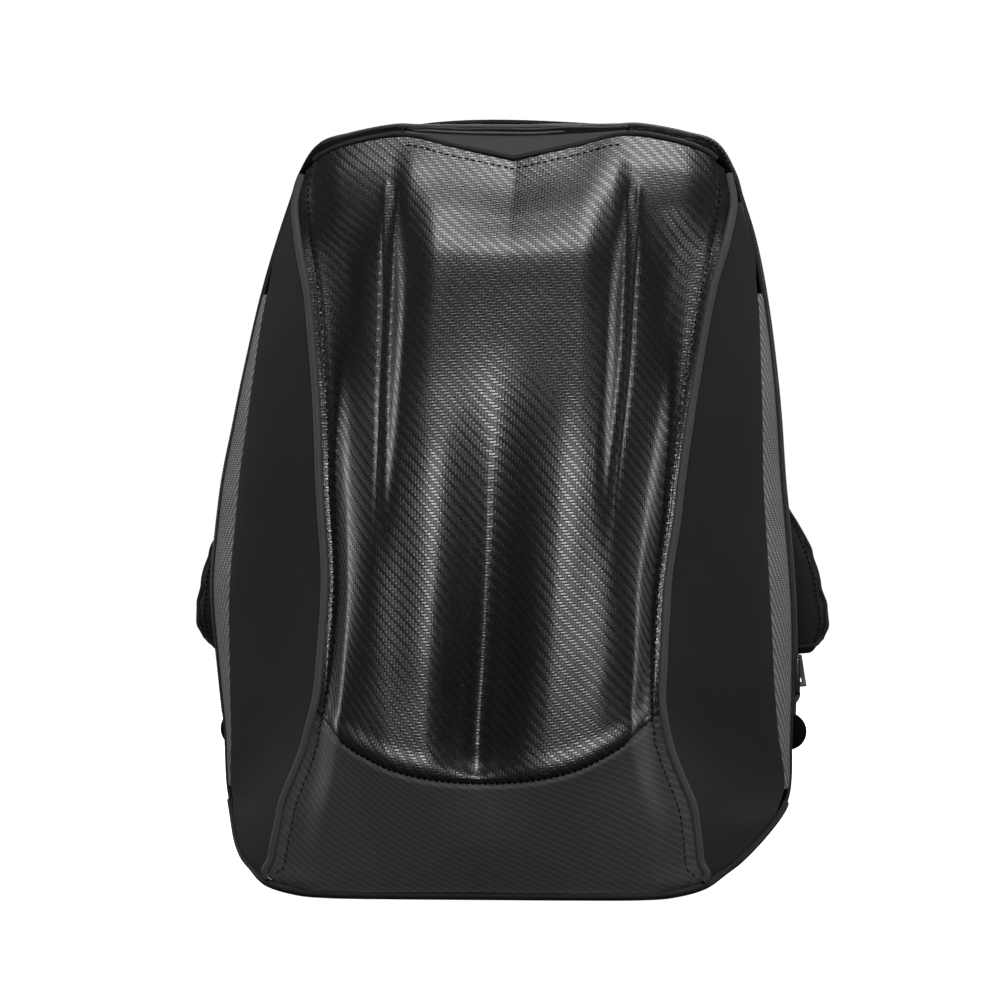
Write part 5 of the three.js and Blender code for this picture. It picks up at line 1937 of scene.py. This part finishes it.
@dataclass
class ClothSides(SubAssembly):
    """The stretch cloth beside the shell, the ribbed bands, the yokes and the top's strips.

    Attributes:
        cloth: The stretch cloth's thickness.
        nylon: The nylon's thickness.
        band_tip: How many stations the band's pointed ends take.
        yoke_stitch: The stitches along the yokes.
    """

    cloth: float = 2 * MM
    nylon: float = 1.5 * MM
    band_tip: float = 0.9
    yoke_stitch: Stitch = Stitch(3.2 * MM, 2.2 * MM, 0.35 * MM)

    def __post_init__(self) -> None:
        """Finds the stations where the strips start and end."""
        f = self.form
        self.panel_from = 0.03
        self.panel_to = f.station_at(428 * MM)
        self.band_from = f.station_at(64 * MM)
        self.band_to = f.station_at(372 * MM)
        self.yoke_from = self.panel_to + 0.15
        self.peak = f.shoulder_station + 3.4

    def binding_seat(self, station: Array) -> Array:
        """How far the cloth keeps from the widest line, where the foot's binding climbs it."""
        f = self.form
        s = np.minimum(station, 2 * f.last_station - station)
        fade = smoothstep(s, self.band_from - 0.15, self.band_from + 0.1)
        return (f.binding_radius + 7 * f.gap) * (1 - fade) + f.gap * fade

    def strip(self, side: Side, stations: Array, start: Array, end: Array, columns: int) -> Array:
        """A grid of the ring between two lines.

        Args:
            side: The side it is on.
            stations: The stations of its rows.
            start: The u of its first line at each station.
            end: The u of its last line at each station.
            columns: How many faces it has across.

        Returns:
            The grid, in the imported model's place.
        """
        share = np.linspace(0, 1, columns + 1)[None, :]
        u = start[:, None] * (1 - share) + end[:, None] * share
        return self.form.placed(self.form.ring(u, stations[:, None]) * side.mirror)

    def build(self) -> None:
        """Makes every strip."""
        for side in Side:
            self.side_cloth(side)
            self.ribbed_band(side)
            self.yoke(side)
        self.insert()
        self.flap()

    def side_cloth(self, side: Side) -> None:
        """Cuts one side's smooth cloth from the piped seam to the band.

        Args:
            side: The side it is on.
        """
        f = self.form
        stations = np.linspace(self.panel_from, self.panel_to, 150)
        with_band = f.ring_offset(0.25, stations, f.gap, -1)
        whole = f.ring_offset(0.5, stations, self.binding_seat(stations), -1)
        low = 1 - smoothstep(stations, self.band_from - self.band_tip, self.band_from - 0.1)
        high = smoothstep(stations, self.band_to + 0.1, self.band_to + self.band_tip)
        share = np.maximum(low, high)
        rear = with_band * (1 - share) + whole * share
        grid = self.strip(side, stations, np.zeros_like(stations), rear, 36)
        height = grid[..., 2]
        noise = SoftNoise(21 + side.value)
        folds = noise.read(grid[..., 1] / 0.03 + height / 0.09, height / 0.06) * 0.7 * MM
        edge = across_of(grid)
        grid = grid + normals_of(grid) * (folds * 4 * edge * (1 - edge))[..., None]
        piece = cloth_piece(f"side_cloth_{side.label}", grid, self.cloth)
        self.dress(piece, self.finishes.neoprene, "stretch_cloth", f"side_panel_{side.label}")
        self.spread(piece, grid, "stretched", f"piped_seam_{side.label}", "gusset_ring")

    def ribbed_band(self, side: Side) -> None:
        """Cuts the carbon-look band at the widest part of one side.

        Args:
            side: The side it is on.
        """
        f = self.form
        stations = np.linspace(self.band_from, self.band_to, 150)
        start = f.ring_offset(0.25, stations, f.gap, 1)
        end = f.ring_offset(0.5, stations, 1.5 * f.gap, -1)
        grid = self.strip(side, stations, start, end, 14)
        piece = cloth_piece(f"ribbed_band_{side.label}", grid, self.cloth, 0.6 * MM)
        self.dress(piece, self.finishes.band, "band", f"side_band_{side.label}")
        self.spread(piece, grid, "stretched", f"side_cloth_{side.label}", "bound_rim")

    def yoke(self, side: Side) -> None:
        """Folds the nylon behind one of the shell's shoulders.

        Args:
            side: The side it is on.
        """
        f = self.form
        stations = np.linspace(self.yoke_from, self.peak, 70)
        end = f.ring_offset(0.5, stations, 1.5 * f.gap, -1)
        grid = self.strip(side, stations, np.zeros_like(stations), end, 16)
        noise = SoftNoise(31 + side.value)
        across = across_of(grid)
        run = np.linspace(0, 1, grid.shape[0])[:, None]
        folds = noise.read(grid[..., 0] / 0.03, grid[..., 1] / 0.02) * 0.7 * MM
        bands = np.sin((across * 2.2 + run * 1.2 + noise.read(run * 4, 0.0) * 0.2) * 2 * np.pi)
        folds = folds + bands * np.sin(np.pi * across) * 1.3 * MM
        grid = grid + normals_of(grid) * folds[..., None]
        piece = cloth_piece(f"nylon_yoke_{side.label}", grid, self.nylon, 0.8 * MM)
        self.dress(piece, self.finishes.nylon, "nylon", f"shoulder_yoke_{side.label}")
        self.spread(piece, grid, "stretched", "notch_welt", "bound_rim")
        seam = slice(4, grid.shape[0] - 3)
        normal = normals_of(grid)
        for number, column in enumerate((3, grid.shape[1] - 4)):
            name = f"yoke_stitching_{side.label}_{number + 1}"
            self.stitches(name, grid[seam, column], normal[seam, column], self.yoke_stitch, "nylon")

    def insert(self) -> None:
        """Fills the notch with smooth cloth."""
        f = self.form
        stations = f.stations_over(self.peak + 0.1, 90)
        end = f.ring_offset(0.25, stations, f.gap, -1)
        grid = self.strip(Side.RIGHT, stations, np.zeros_like(stations), end, 14)
        piece = cloth_piece("notch_insert", grid, self.cloth)
        self.dress(piece, self.finishes.insert, "insert", "top_insert")
        self.spread(piece, grid, "stretched", "notch_welt", "wavy_flap")

    def flap(self) -> None:
        """Hangs the wavy flap over the zip's top stretch."""
        f = self.form
        stations = f.stations_over(self.peak + 0.1, 110)
        start = f.ring_offset(0.25, stations, f.gap, 1)
        end = f.ring_offset(0.5, stations, 1.5 * f.gap, -1)
        grid = self.strip(Side.RIGHT, stations, start, end, 12)
        across = across_of(grid)
        wave = SoftNoise(41).read(grid[..., 0] / 0.022, 0.0) * 1.3 * MM
        grid[..., 2] += wave * (0.5 + 0.5 * across)
        grid = grid + normals_of(grid) * (1.2 * MM * np.sin(np.pi * across) - 0.4 * MM)[..., None]
        piece = cloth_piece("wavy_flap", grid, self.nylon, 0.7 * MM)
        self.dress(piece, self.finishes.nylon, "nylon", "zip_flap")
        self.spread(piece, grid, "stretched", "notch_insert", "bound_rim")
        self.pale_lip(grid[:, 0])

    def pale_lip(self, front: Array) -> None:
        """Edges the flap's front with a thin pale lip.

        Args:
            front: The flap's front edge.
        """
        kept = front[(front[:, 0] > -56 * MM) & (front[:, 0] < 40 * MM)]
        route = even_route(kept + np.array([0, -1.7 * MM, 1.0 * MM]), 1.2 * MM)
        ends = np.sin(np.pi * np.linspace(0, 1, len(route))) ** 0.3
        lip = lofted("flap_lip", cord_rings(route, 0.75 * MM * (0.25 + 0.75 * ends), 8, (0, 1, 0)))
        self.dress(lip, self.finishes.lip, "trim")


@dataclass
class RearBody(ClothSides):
    """The nylon ring behind the widest line, with its zip, the bottom and the carry handle.

    Attributes:
        zip_width: The width of the zip's tape.
        zip_thickness: Its thickness.
        zip_setback: How far the tape stands behind the widest line.
        zip_foot: The height where it starts on both sides.
        handle_width: The width of the handle's webbing.
        handle_thickness: Its thickness.
    """

    zip_width: float = 9 * MM
    zip_thickness: float = 1.2 * MM
    zip_setback: float = 5 * MM
    zip_foot: float = 110 * MM
    handle_width: float = 18 * MM
    handle_thickness: float = 2.5 * MM

    def build(self) -> None:
        """Makes the ring, the zip, the bottom and the handle."""
        self.gusset()
        self.zip()
        self.slider()
        self.bottom()
        self.handle()

    def gusset(self) -> None:
        """Wraps the nylon from the widest line to the back."""
        f = self.form
        stations = f.stations_over(0, 420)
        start = f.ring_offset(0.5, stations, self.binding_seat(stations), 1)
        grid = self.strip(Side.RIGHT, stations, start, np.ones_like(stations), 22)
        edge = across_of(grid)
        folds = SoftNoise(51).read(stations[:, None] * 2.1, edge * 2) * 0.9 * MM
        folds = folds * smoothstep(edge, 0.3, 0.6) * smoothstep(1 - edge, 0, 0.2)
        grid = grid + normals_of(grid) * folds[..., None]
        piece = cloth_piece("gusset_ring", grid, self.nylon)
        self.dress(piece, self.finishes.nylon, "nylon", "rear_gusset")

    def zip_grid(self, near: float, far: float, lift: float, columns: int, rows: int) -> Array:
        """A strip that runs with the zip, raised above the gusset.

        Args:
            near: How far its near edge stands behind the widest line.
            far: How far its far edge does.
            lift: How far it is raised.
            columns: How many faces it has across.
            rows: How many points it has along.

        Returns:
            The strip's grid.
        """
        f = self.form
        stations = f.stations_over(f.station_at(self.zip_foot), rows)
        start = f.ring_offset(0.5, stations, near, 1)
        end = f.ring_offset(0.5, stations, far, 1)
        grid = self.strip(Side.RIGHT, stations, start, end, columns)
        return grid + normals_of(grid) * lift

    def zip(self) -> None:
        """Sews the tape and lays the coil along its middle."""
        tape = self.zip_grid(self.zip_setback, self.zip_setback + self.zip_width, 1.5 * MM, 6, 420)
        piece = cloth_piece("zip_tape", tape, self.zip_thickness, 0.4 * MM)
        self.dress(piece, self.finishes.webbing, "zip", "main_zip")
        middle = self.zip_setback + self.zip_width / 2
        coil = self.zip_grid(middle - 1.5 * MM, middle + 1.5 * MM, 2.0 * MM, 2, 700)
        route = even_route(coil[:, 1], 0.9 * MM)
        radius = 1.15 * MM + 0.25 * MM * (np.arange(len(route)) % 2)
        piece = lofted("zip_coil", cord_rings(route, radius, 8, (0, 1, 0)))
        self.dress(piece, self.finishes.plastic, "zip")

    def slider(self) -> None:
        """Rounds the slider and gives it its painted finish."""
        piece = bevelled("painted_slider", "zip_slider", 0.6 * MM)
        self.dress(piece, self.finishes.painted, "zip_metal", "zip_slider")

    def bottom(self) -> None:
        """Rounds the flat bottom's edges and gives it its nylon."""
        piece = bevelled("base_cloth", "base_panel", 1.2 * MM)
        self.dress(piece, self.finishes.padding, "nylon", "base_panel")

    def handle(self) -> None:
        """Bends the webbing handle over the top's rear edge."""
        low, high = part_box("grab_handle")
        x = np.linspace(low.x, high.x, 81)
        share = (x - low.x) / (high.x - low.x)
        rise = high.z - low.z - self.handle_thickness
        z = low.z + self.handle_thickness / 2 + rise * np.sin(np.pi * share**0.7)
        y = np.full_like(x, (low.y + high.y) / 2)
        route = np.stack([x, y, z], axis=-1)
        rings = strip_rings(route, np.array([0, 0, 1.0]), self.handle_width, self.handle_thickness, 0.35, 24)
        piece = lofted("carry_handle", rings)
        self.dress(piece, self.finishes.webbing, "webbing", "grab_handle")


@dataclass
class PaddedBack(ClothSides):
    """The padded back panel inside the gusset's rear edge.

    Attributes:
        thickness: The panel's thickness.
        crown: How far its middle swells out.
        seat: How far its edge keeps from the gusset.
        binding: Half the thickness of its binding.
        stitch: The stitches of its sewn lines.
    """

    thickness: float = 12 * MM
    crown: float = 5 * MM
    seat: float = 0.5 * MM
    binding: float = 2.4 * MM
    stitch: Stitch = Stitch(4.5 * MM, 3.2 * MM, 0.5 * MM)

    def build(self) -> None:
        """Makes the panel, its binding and its stitches."""
        f = self.form
        face, back = self.faces()
        points = np.concatenate([f.placed(face).reshape(-1, 3), f.placed(back).reshape(-1, 3)])
        piece = build_object("padded_back", points, sheet_faces(*face.shape[:2]))
        plump(piece, 6 * MM, 3.0, 5 * MM, f.back_plane - self.thickness / 2)
        routes = self.seam_lines(face)
        for route in routes:
            press_seam(piece, route, 2.2 * MM, 5 * MM)
        self.bind()
        self.dress(piece, self.finishes.mesh, "padding", "back_panel")
        for number, route in enumerate(routes):
            seam, normal = snapped(piece, even_route(route, 2 * MM))
            self.stitches(f"back_stitching_{number + 1}", seam, normal, self.stitch, "padding")

    def faces(self) -> tuple[Array, Array]:
        """The panel's two faces, inside the gusset's rear edge.

        Returns:
            The outer and the inner grid, in the bag's frame.
        """
        f = self.form
        rows = np.linspace(0, 1, 121)
        corner = f.ring(1.0, rows * f.shoulder_station)
        top = f.ring(1.0, np.linspace(f.shoulder_station, f.last_station, 200))
        share = np.linspace(-1, 1, 91)
        x = share[None, :] * (corner[:, :1] - self.seat)
        crest = np.interp(np.abs(x), top[::-1, 0], top[::-1, 2])
        lift = (crest - corner[-1, 2]) * smoothstep(rows, 0.6, 1)[:, None]
        z = corner[:, 2:3] + lift - self.seat * smoothstep(rows, 0.9, 1)[:, None]
        inside = np.minimum(1 - np.abs(share)[None, :], np.minimum(rows, 1 - rows)[:, None] * 3)
        swell = self.crown * smoothstep(inside, 0, 0.35)
        return spots(x, -swell, z), spots(x, self.thickness, z)

    def seam_lines(self, face: Array) -> list[Array]:
        """The panel's sewn lines as placed routes: two that run up and one round the rim."""
        rim = [face[8, 8:-8], face[8:-8, -9], face[-9, -9:7:-1], face[-9:7:-1, 8], face[8, 8:12]]
        lines = [face[6:-4, 30], face[6:-4, 60], np.concatenate(rim)]
        return [even_route(self.form.placed(line), 3 * MM) for line in lines]

    def bind(self) -> None:
        """Lays the binding over the seam between the gusset and the panel."""
        f = self.form
        seam = f.placed(f.ring(1.0, f.stations_over(0, 400)) - np.array([0, 0.6 * MM, 0]))
        route = even_route(np.concatenate([seam, seam[:2]]), 2.5 * MM)
        piece = lofted("back_binding", cord_rings(route, self.binding, 10, (0, 1, 0)))
        self.dress(piece, self.finishes.binding, "trim")


@dataclass
class Straps(SubAssembly):
    """The padded shoulder straps with their adjusters, webbing and corner tabs.

    Attributes:
        width: The pad's width.
        thickness: The pad's thickness.
        stand_off: How far the strap bows from the back.
        seam_inset: How far the sewn lines stand from the pad's edge.
        fullness: How much wider the pad lies than its solid.
        spread_out: How much farther out its lower half bows.
        edge_radius: Half the thickness of the edge's binding.
        stitch: The stitches of its sewn lines.
    """

    width: float = 62 * MM
    thickness: float = 11 * MM
    stand_off: float = 40 * MM
    seam_inset: float = 5 * MM
    fullness: float = 1.14
    spread_out: float = 5 * MM
    edge_radius: float = 1.4 * MM
    stitch: Stitch = Stitch(3.6 * MM, 2.5 * MM, 0.4 * MM)

    def route(self, t: Array) -> tuple[Array, Array, Array]:
        """The right strap's middle line.

        Args:
            t: Shares of the way from its seat to its foot.

        Returns:
            Its points, its widths and its thicknesses.
        """
        across, height, out, width, thickness = (STRAP.read(name, t) for name in STRAP.columns[1:])
        f = self.form
        lift = f.gap + self.thickness / 2
        x = across * f.width / 2 + self.spread_out * smoothstep(t, 0.7, 0.95)
        points = np.stack([x, lift + out * self.stand_off, height * f.height], axis=-1)
        return points, width * self.width, thickness * self.thickness

    @staticmethod
    def foot_rounding(t: Array) -> Array:
        """The share of its width that the pad keeps over its rounded last 7 hundredths."""
        return 0.62 + 0.38 * np.sqrt(1 - clamp01((t - 0.93) / 0.07) ** 2)

    def build(self) -> None:
        """Makes both straps."""
        pad = self.pad()
        seams, outline = self.seams(pad)
        for side in Side:
            mirror = side.mirror
            copy = linked(f"padded_strap_{side.label}", pad.data.copy(), 80)
            put(copy, self.form.placed(coordinates(pad) * mirror))
            if side is Side.LEFT:
                copy.data.flip_normals()
            self.dress(copy, self.finishes.padding, "padding", f"shoulder_strap_{side.label}")
            for number, (route, normal) in enumerate(seams):
                name = f"strap_stitching_{side.label}_{number + 1}"
                line = self.form.placed(route * mirror)
                self.stitches(name, line, normal * mirror, self.stitch, "padding")
            rings = cord_rings(self.form.placed(outline * mirror), self.edge_radius, 10, (0, 1, 0))
            edge = lofted(f"strap_edge_{side.label}", rings)
            self.dress(edge, self.finishes.binding, "trim")
            self.hardware(side)
        bpy.data.objects.remove(pad)

    def pad(self) -> Piece:
        """Shapes the right strap's pad and lets it swell.

        Returns:
            The pad, in the bag's frame.
        """
        t = np.linspace(0, 1, 121)
        points, width, thickness = self.route(t)
        width = width * np.minimum(self.foot_rounding(t), 0.7 + 8 * t) * self.fullness
        rings = strip_rings(points, np.array([0, 1.0, 0]), width, thickness * 0.85, 0.62, 36)
        piece = lofted("strap_pad", rings)
        plump(piece, 4 * MM, 4.0, 5.5 * MM)
        return piece

    def seams(self, pad: Piece) -> tuple[list[tuple[Array, Array]], Array]:
        """Presses the sewn lines into the pad.

        Args:
            pad: The right strap's pad.

        Returns:
            The lines with their normals, and the pad's outline.
        """
        t = np.linspace(0.03, 0.985, 160)
        points, width, thickness = self.route(t)
        width = width * self.fullness * self.foot_rounding(t)
        _, sideways, face = frames_along(points, np.array([0, 1.0, 0]))
        lines: list[Array] = []
        for looks in (-1, 1):
            middle = points + face * (looks * thickness * 0.5)[:, None]
            for hand in (-1, 1):
                lines.append(middle + sideways * (hand * (width / 2 - self.seam_inset))[:, None])
        for line in lines:
            press_seam(pad, even_route(line, 3 * MM), 1.3 * MM, 2.6 * MM)
        sewn = [snapped(pad, even_route(line, 2 * MM)) for line in lines]
        far = [points + sideways * (hand * (width / 2 + 8 * MM))[:, None] for hand in (-1, 1)]
        outline = even_route(np.concatenate([far[0], far[1][::-1]]), 3 * MM)
        return sewn, even_route(snapped(pad, outline)[0], 2.5 * MM)

    def hardware(self, side: Side) -> None:
        """Rounds and dresses one side's adjuster, webbing and corner tab.

        Args:
            side: The side it is on.
        """
        finishes = self.finishes
        for name, node, material, slot, radius in (
            ("adjuster", "ladder_lock", finishes.plastic, "plastic", 0.6 * MM),
            ("hanging_web", "strap_webbing", finishes.hanging, "webbing", 0.5 * MM),
            ("corner_tab", "strap_anchor", finishes.nylon, "nylon", 0.9 * MM),
        ):
            piece = bevelled(f"{name}_{side.label}", f"{node}_{side.label}", radius)
            self.dress(piece, material, slot, f"{node}_{side.label}")


@dataclass(frozen=True)
class SoftBox:
    """A rectangular light.

    Attributes:
        name: Its name.
        place: Where it hangs.
        size: Its width and height.
        power: Its power in watts.
    """

    name: str
    place: tuple[float, float, float]
    size: tuple[float, float]
    power: float

    def hang(self, target: Vector) -> None:
        """Hangs the light so that it looks at a target.

        Args:
            target: The point it looks at.
        """
        data = bpy.data.lights.new(self.name, "AREA")
        data.shape = "RECTANGLE"
        data.size, data.size_y = self.size
        data.energy = self.power
        lamp = bpy.data.objects.new(self.name, data)
        lamp.location = Vector(self.place)
        lamp.rotation_euler = (target - lamp.location).to_track_quat("-Z", "Y").to_euler()
        bpy.context.scene.collection.objects.link(lamp)


@dataclass
class Studio:
    """The plain pale floor, the soft lights and the camera.

    Attributes:
        azimuth: The camera's angle round the bag, in degrees.
        elevation: Its angle above the floor, in degrees.
        distance: How far it stands from the bag's middle.
        frame_width: The width that the picture shows at the bag.
        target: The point that the camera looks at.
        paper_glow: The light that the paper gives of itself.
        room_light: The light that the room gives.
        boxes: The lights.
    """

    azimuth: float = 4.0
    elevation: float = 1.0
    distance: float = 3.0
    frame_width: float = 0.623
    target: tuple[float, float, float] = (0.0, -0.01, 0.2435)
    paper_glow: float = 1.0
    room_light: float = 0.06
    boxes: tuple[SoftBox, ...] = (
        SoftBox("top_box", (0.12, -0.55, 1.75), (0.7, 0.5), 14),
        SoftBox("front_box", (0.15, -2.2, 0.67), (0.8, 0.34), 21),
        SoftBox("rear_box", (0.5, 2.0, 1.5), (1.3, 1.0), 32),
        SoftBox("left_box", (-1.7, 0.35, 0.5), (0.8, 0.9), 9),
        SoftBox("right_box", (1.7, 0.35, 0.5), (0.8, 0.9), 9),
    )

    def build(self) -> None:
        """Sets the whole studio up, with plain photographic tones."""
        bpy.context.scene.view_settings.view_transform = "Standard"
        self.floor()
        self.world()
        self.lights()
        self.camera()

    def floor(self) -> None:
        """Lays a round floor that rises into a backdrop on every side.

        Only the camera sees the paper's glow: the bag is lit by the lamps and the room alone.
        """
        bend = np.linspace(-np.pi / 2, 0, 12)
        radius = np.concatenate([[0.02, 4.0, 8.0], 9.0 + 2.0 * np.cos(bend), [11.0]])
        rise = np.concatenate([[0.0, 0.0, 0.0], 2.0 + 2.0 * np.sin(bend), [6.0]]) - 0.0005
        turn = np.linspace(0, 2 * np.pi, 65)
        grid = np.stack([
            radius[:, None] * np.cos(turn)[None, :],
            radius[:, None] * np.sin(turn)[None, :],
            np.broadcast_to(rise[:, None], (len(rise), len(turn))),
        ], axis=-1)
        index = np.arange(grid.shape[0] * grid.shape[1]).reshape(grid.shape[:2])
        faces = quads(index)[:, TURNED_OVER].tolist() + [index[0, :-1].tolist()]
        piece = build_object("paper_sweep", grid, faces)
        g = Graph("white_paper")
        fine = g.noise(g.place(Coordinates.BODY), 3 * MM, 2.0)
        glow = {"Emission Color": (1.0, 1.0, 1.0, 1.0), "Emission Strength": self.paper_glow}
        material = g.done((0.9, 0.9, 0.9, 1.0), g.uneven(fine, 0.85, 0.95), None, glow)
        piece.data.materials.append(material)
        piece.visible_diffuse = False
        piece.visible_glossy = False

    def world(self) -> None:
        """Gives the room a low even light."""
        world = bpy.data.worlds.new("studio")
        world.use_nodes = True
        background = world.node_tree.nodes["Background"]
        background.inputs["Color"].default_value = (1, 1, 1, 1)
        background.inputs["Strength"].default_value = self.room_light
        bpy.context.scene.world = world

    def lights(self) -> None:
        """Hangs the soft boxes."""
        for box in self.boxes:
            box.hang(Vector(self.target))

    def camera(self) -> None:
        """Places the camera at the photograph's angle."""
        azimuth, elevation = math.radians(self.azimuth), math.radians(self.elevation)
        back = Vector((
            math.sin(azimuth) * math.cos(elevation),
            -math.cos(azimuth) * math.cos(elevation),
            math.sin(elevation),
        ))
        data = bpy.data.cameras.new("camera")
        data.lens = data.sensor_width * self.distance / self.frame_width
        camera = bpy.data.objects.new("camera", data)
        camera.location = Vector(self.target) + back * self.distance
        camera.rotation_euler = (-back).to_track_quat("-Z", "Y").to_euler()
        bpy.context.scene.collection.objects.link(camera)
        bpy.context.scene.camera = camera


def main() -> None:
    """Builds every part of the bag and the studio round it."""
    logging.basicConfig(level=logging.INFO, format="%(message)s")
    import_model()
    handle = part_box("grab_handle")
    form = BagForm(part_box("back_panel")[1].y, (handle[0].x + handle[1].x) / 2 - BagForm.lean)
    finishes = Finishes()
    for kind in (MouldedFront, Trim, ClothSides, RearBody, PaddedBack, Straps):
        group = kind(form, finishes)
        group.build()
        for piece in group.made:
            LOG.info("%s: %d faces", piece.name, len(piece.data.polygons))
    Studio().build()


if __name__ == "__main__":
    main()
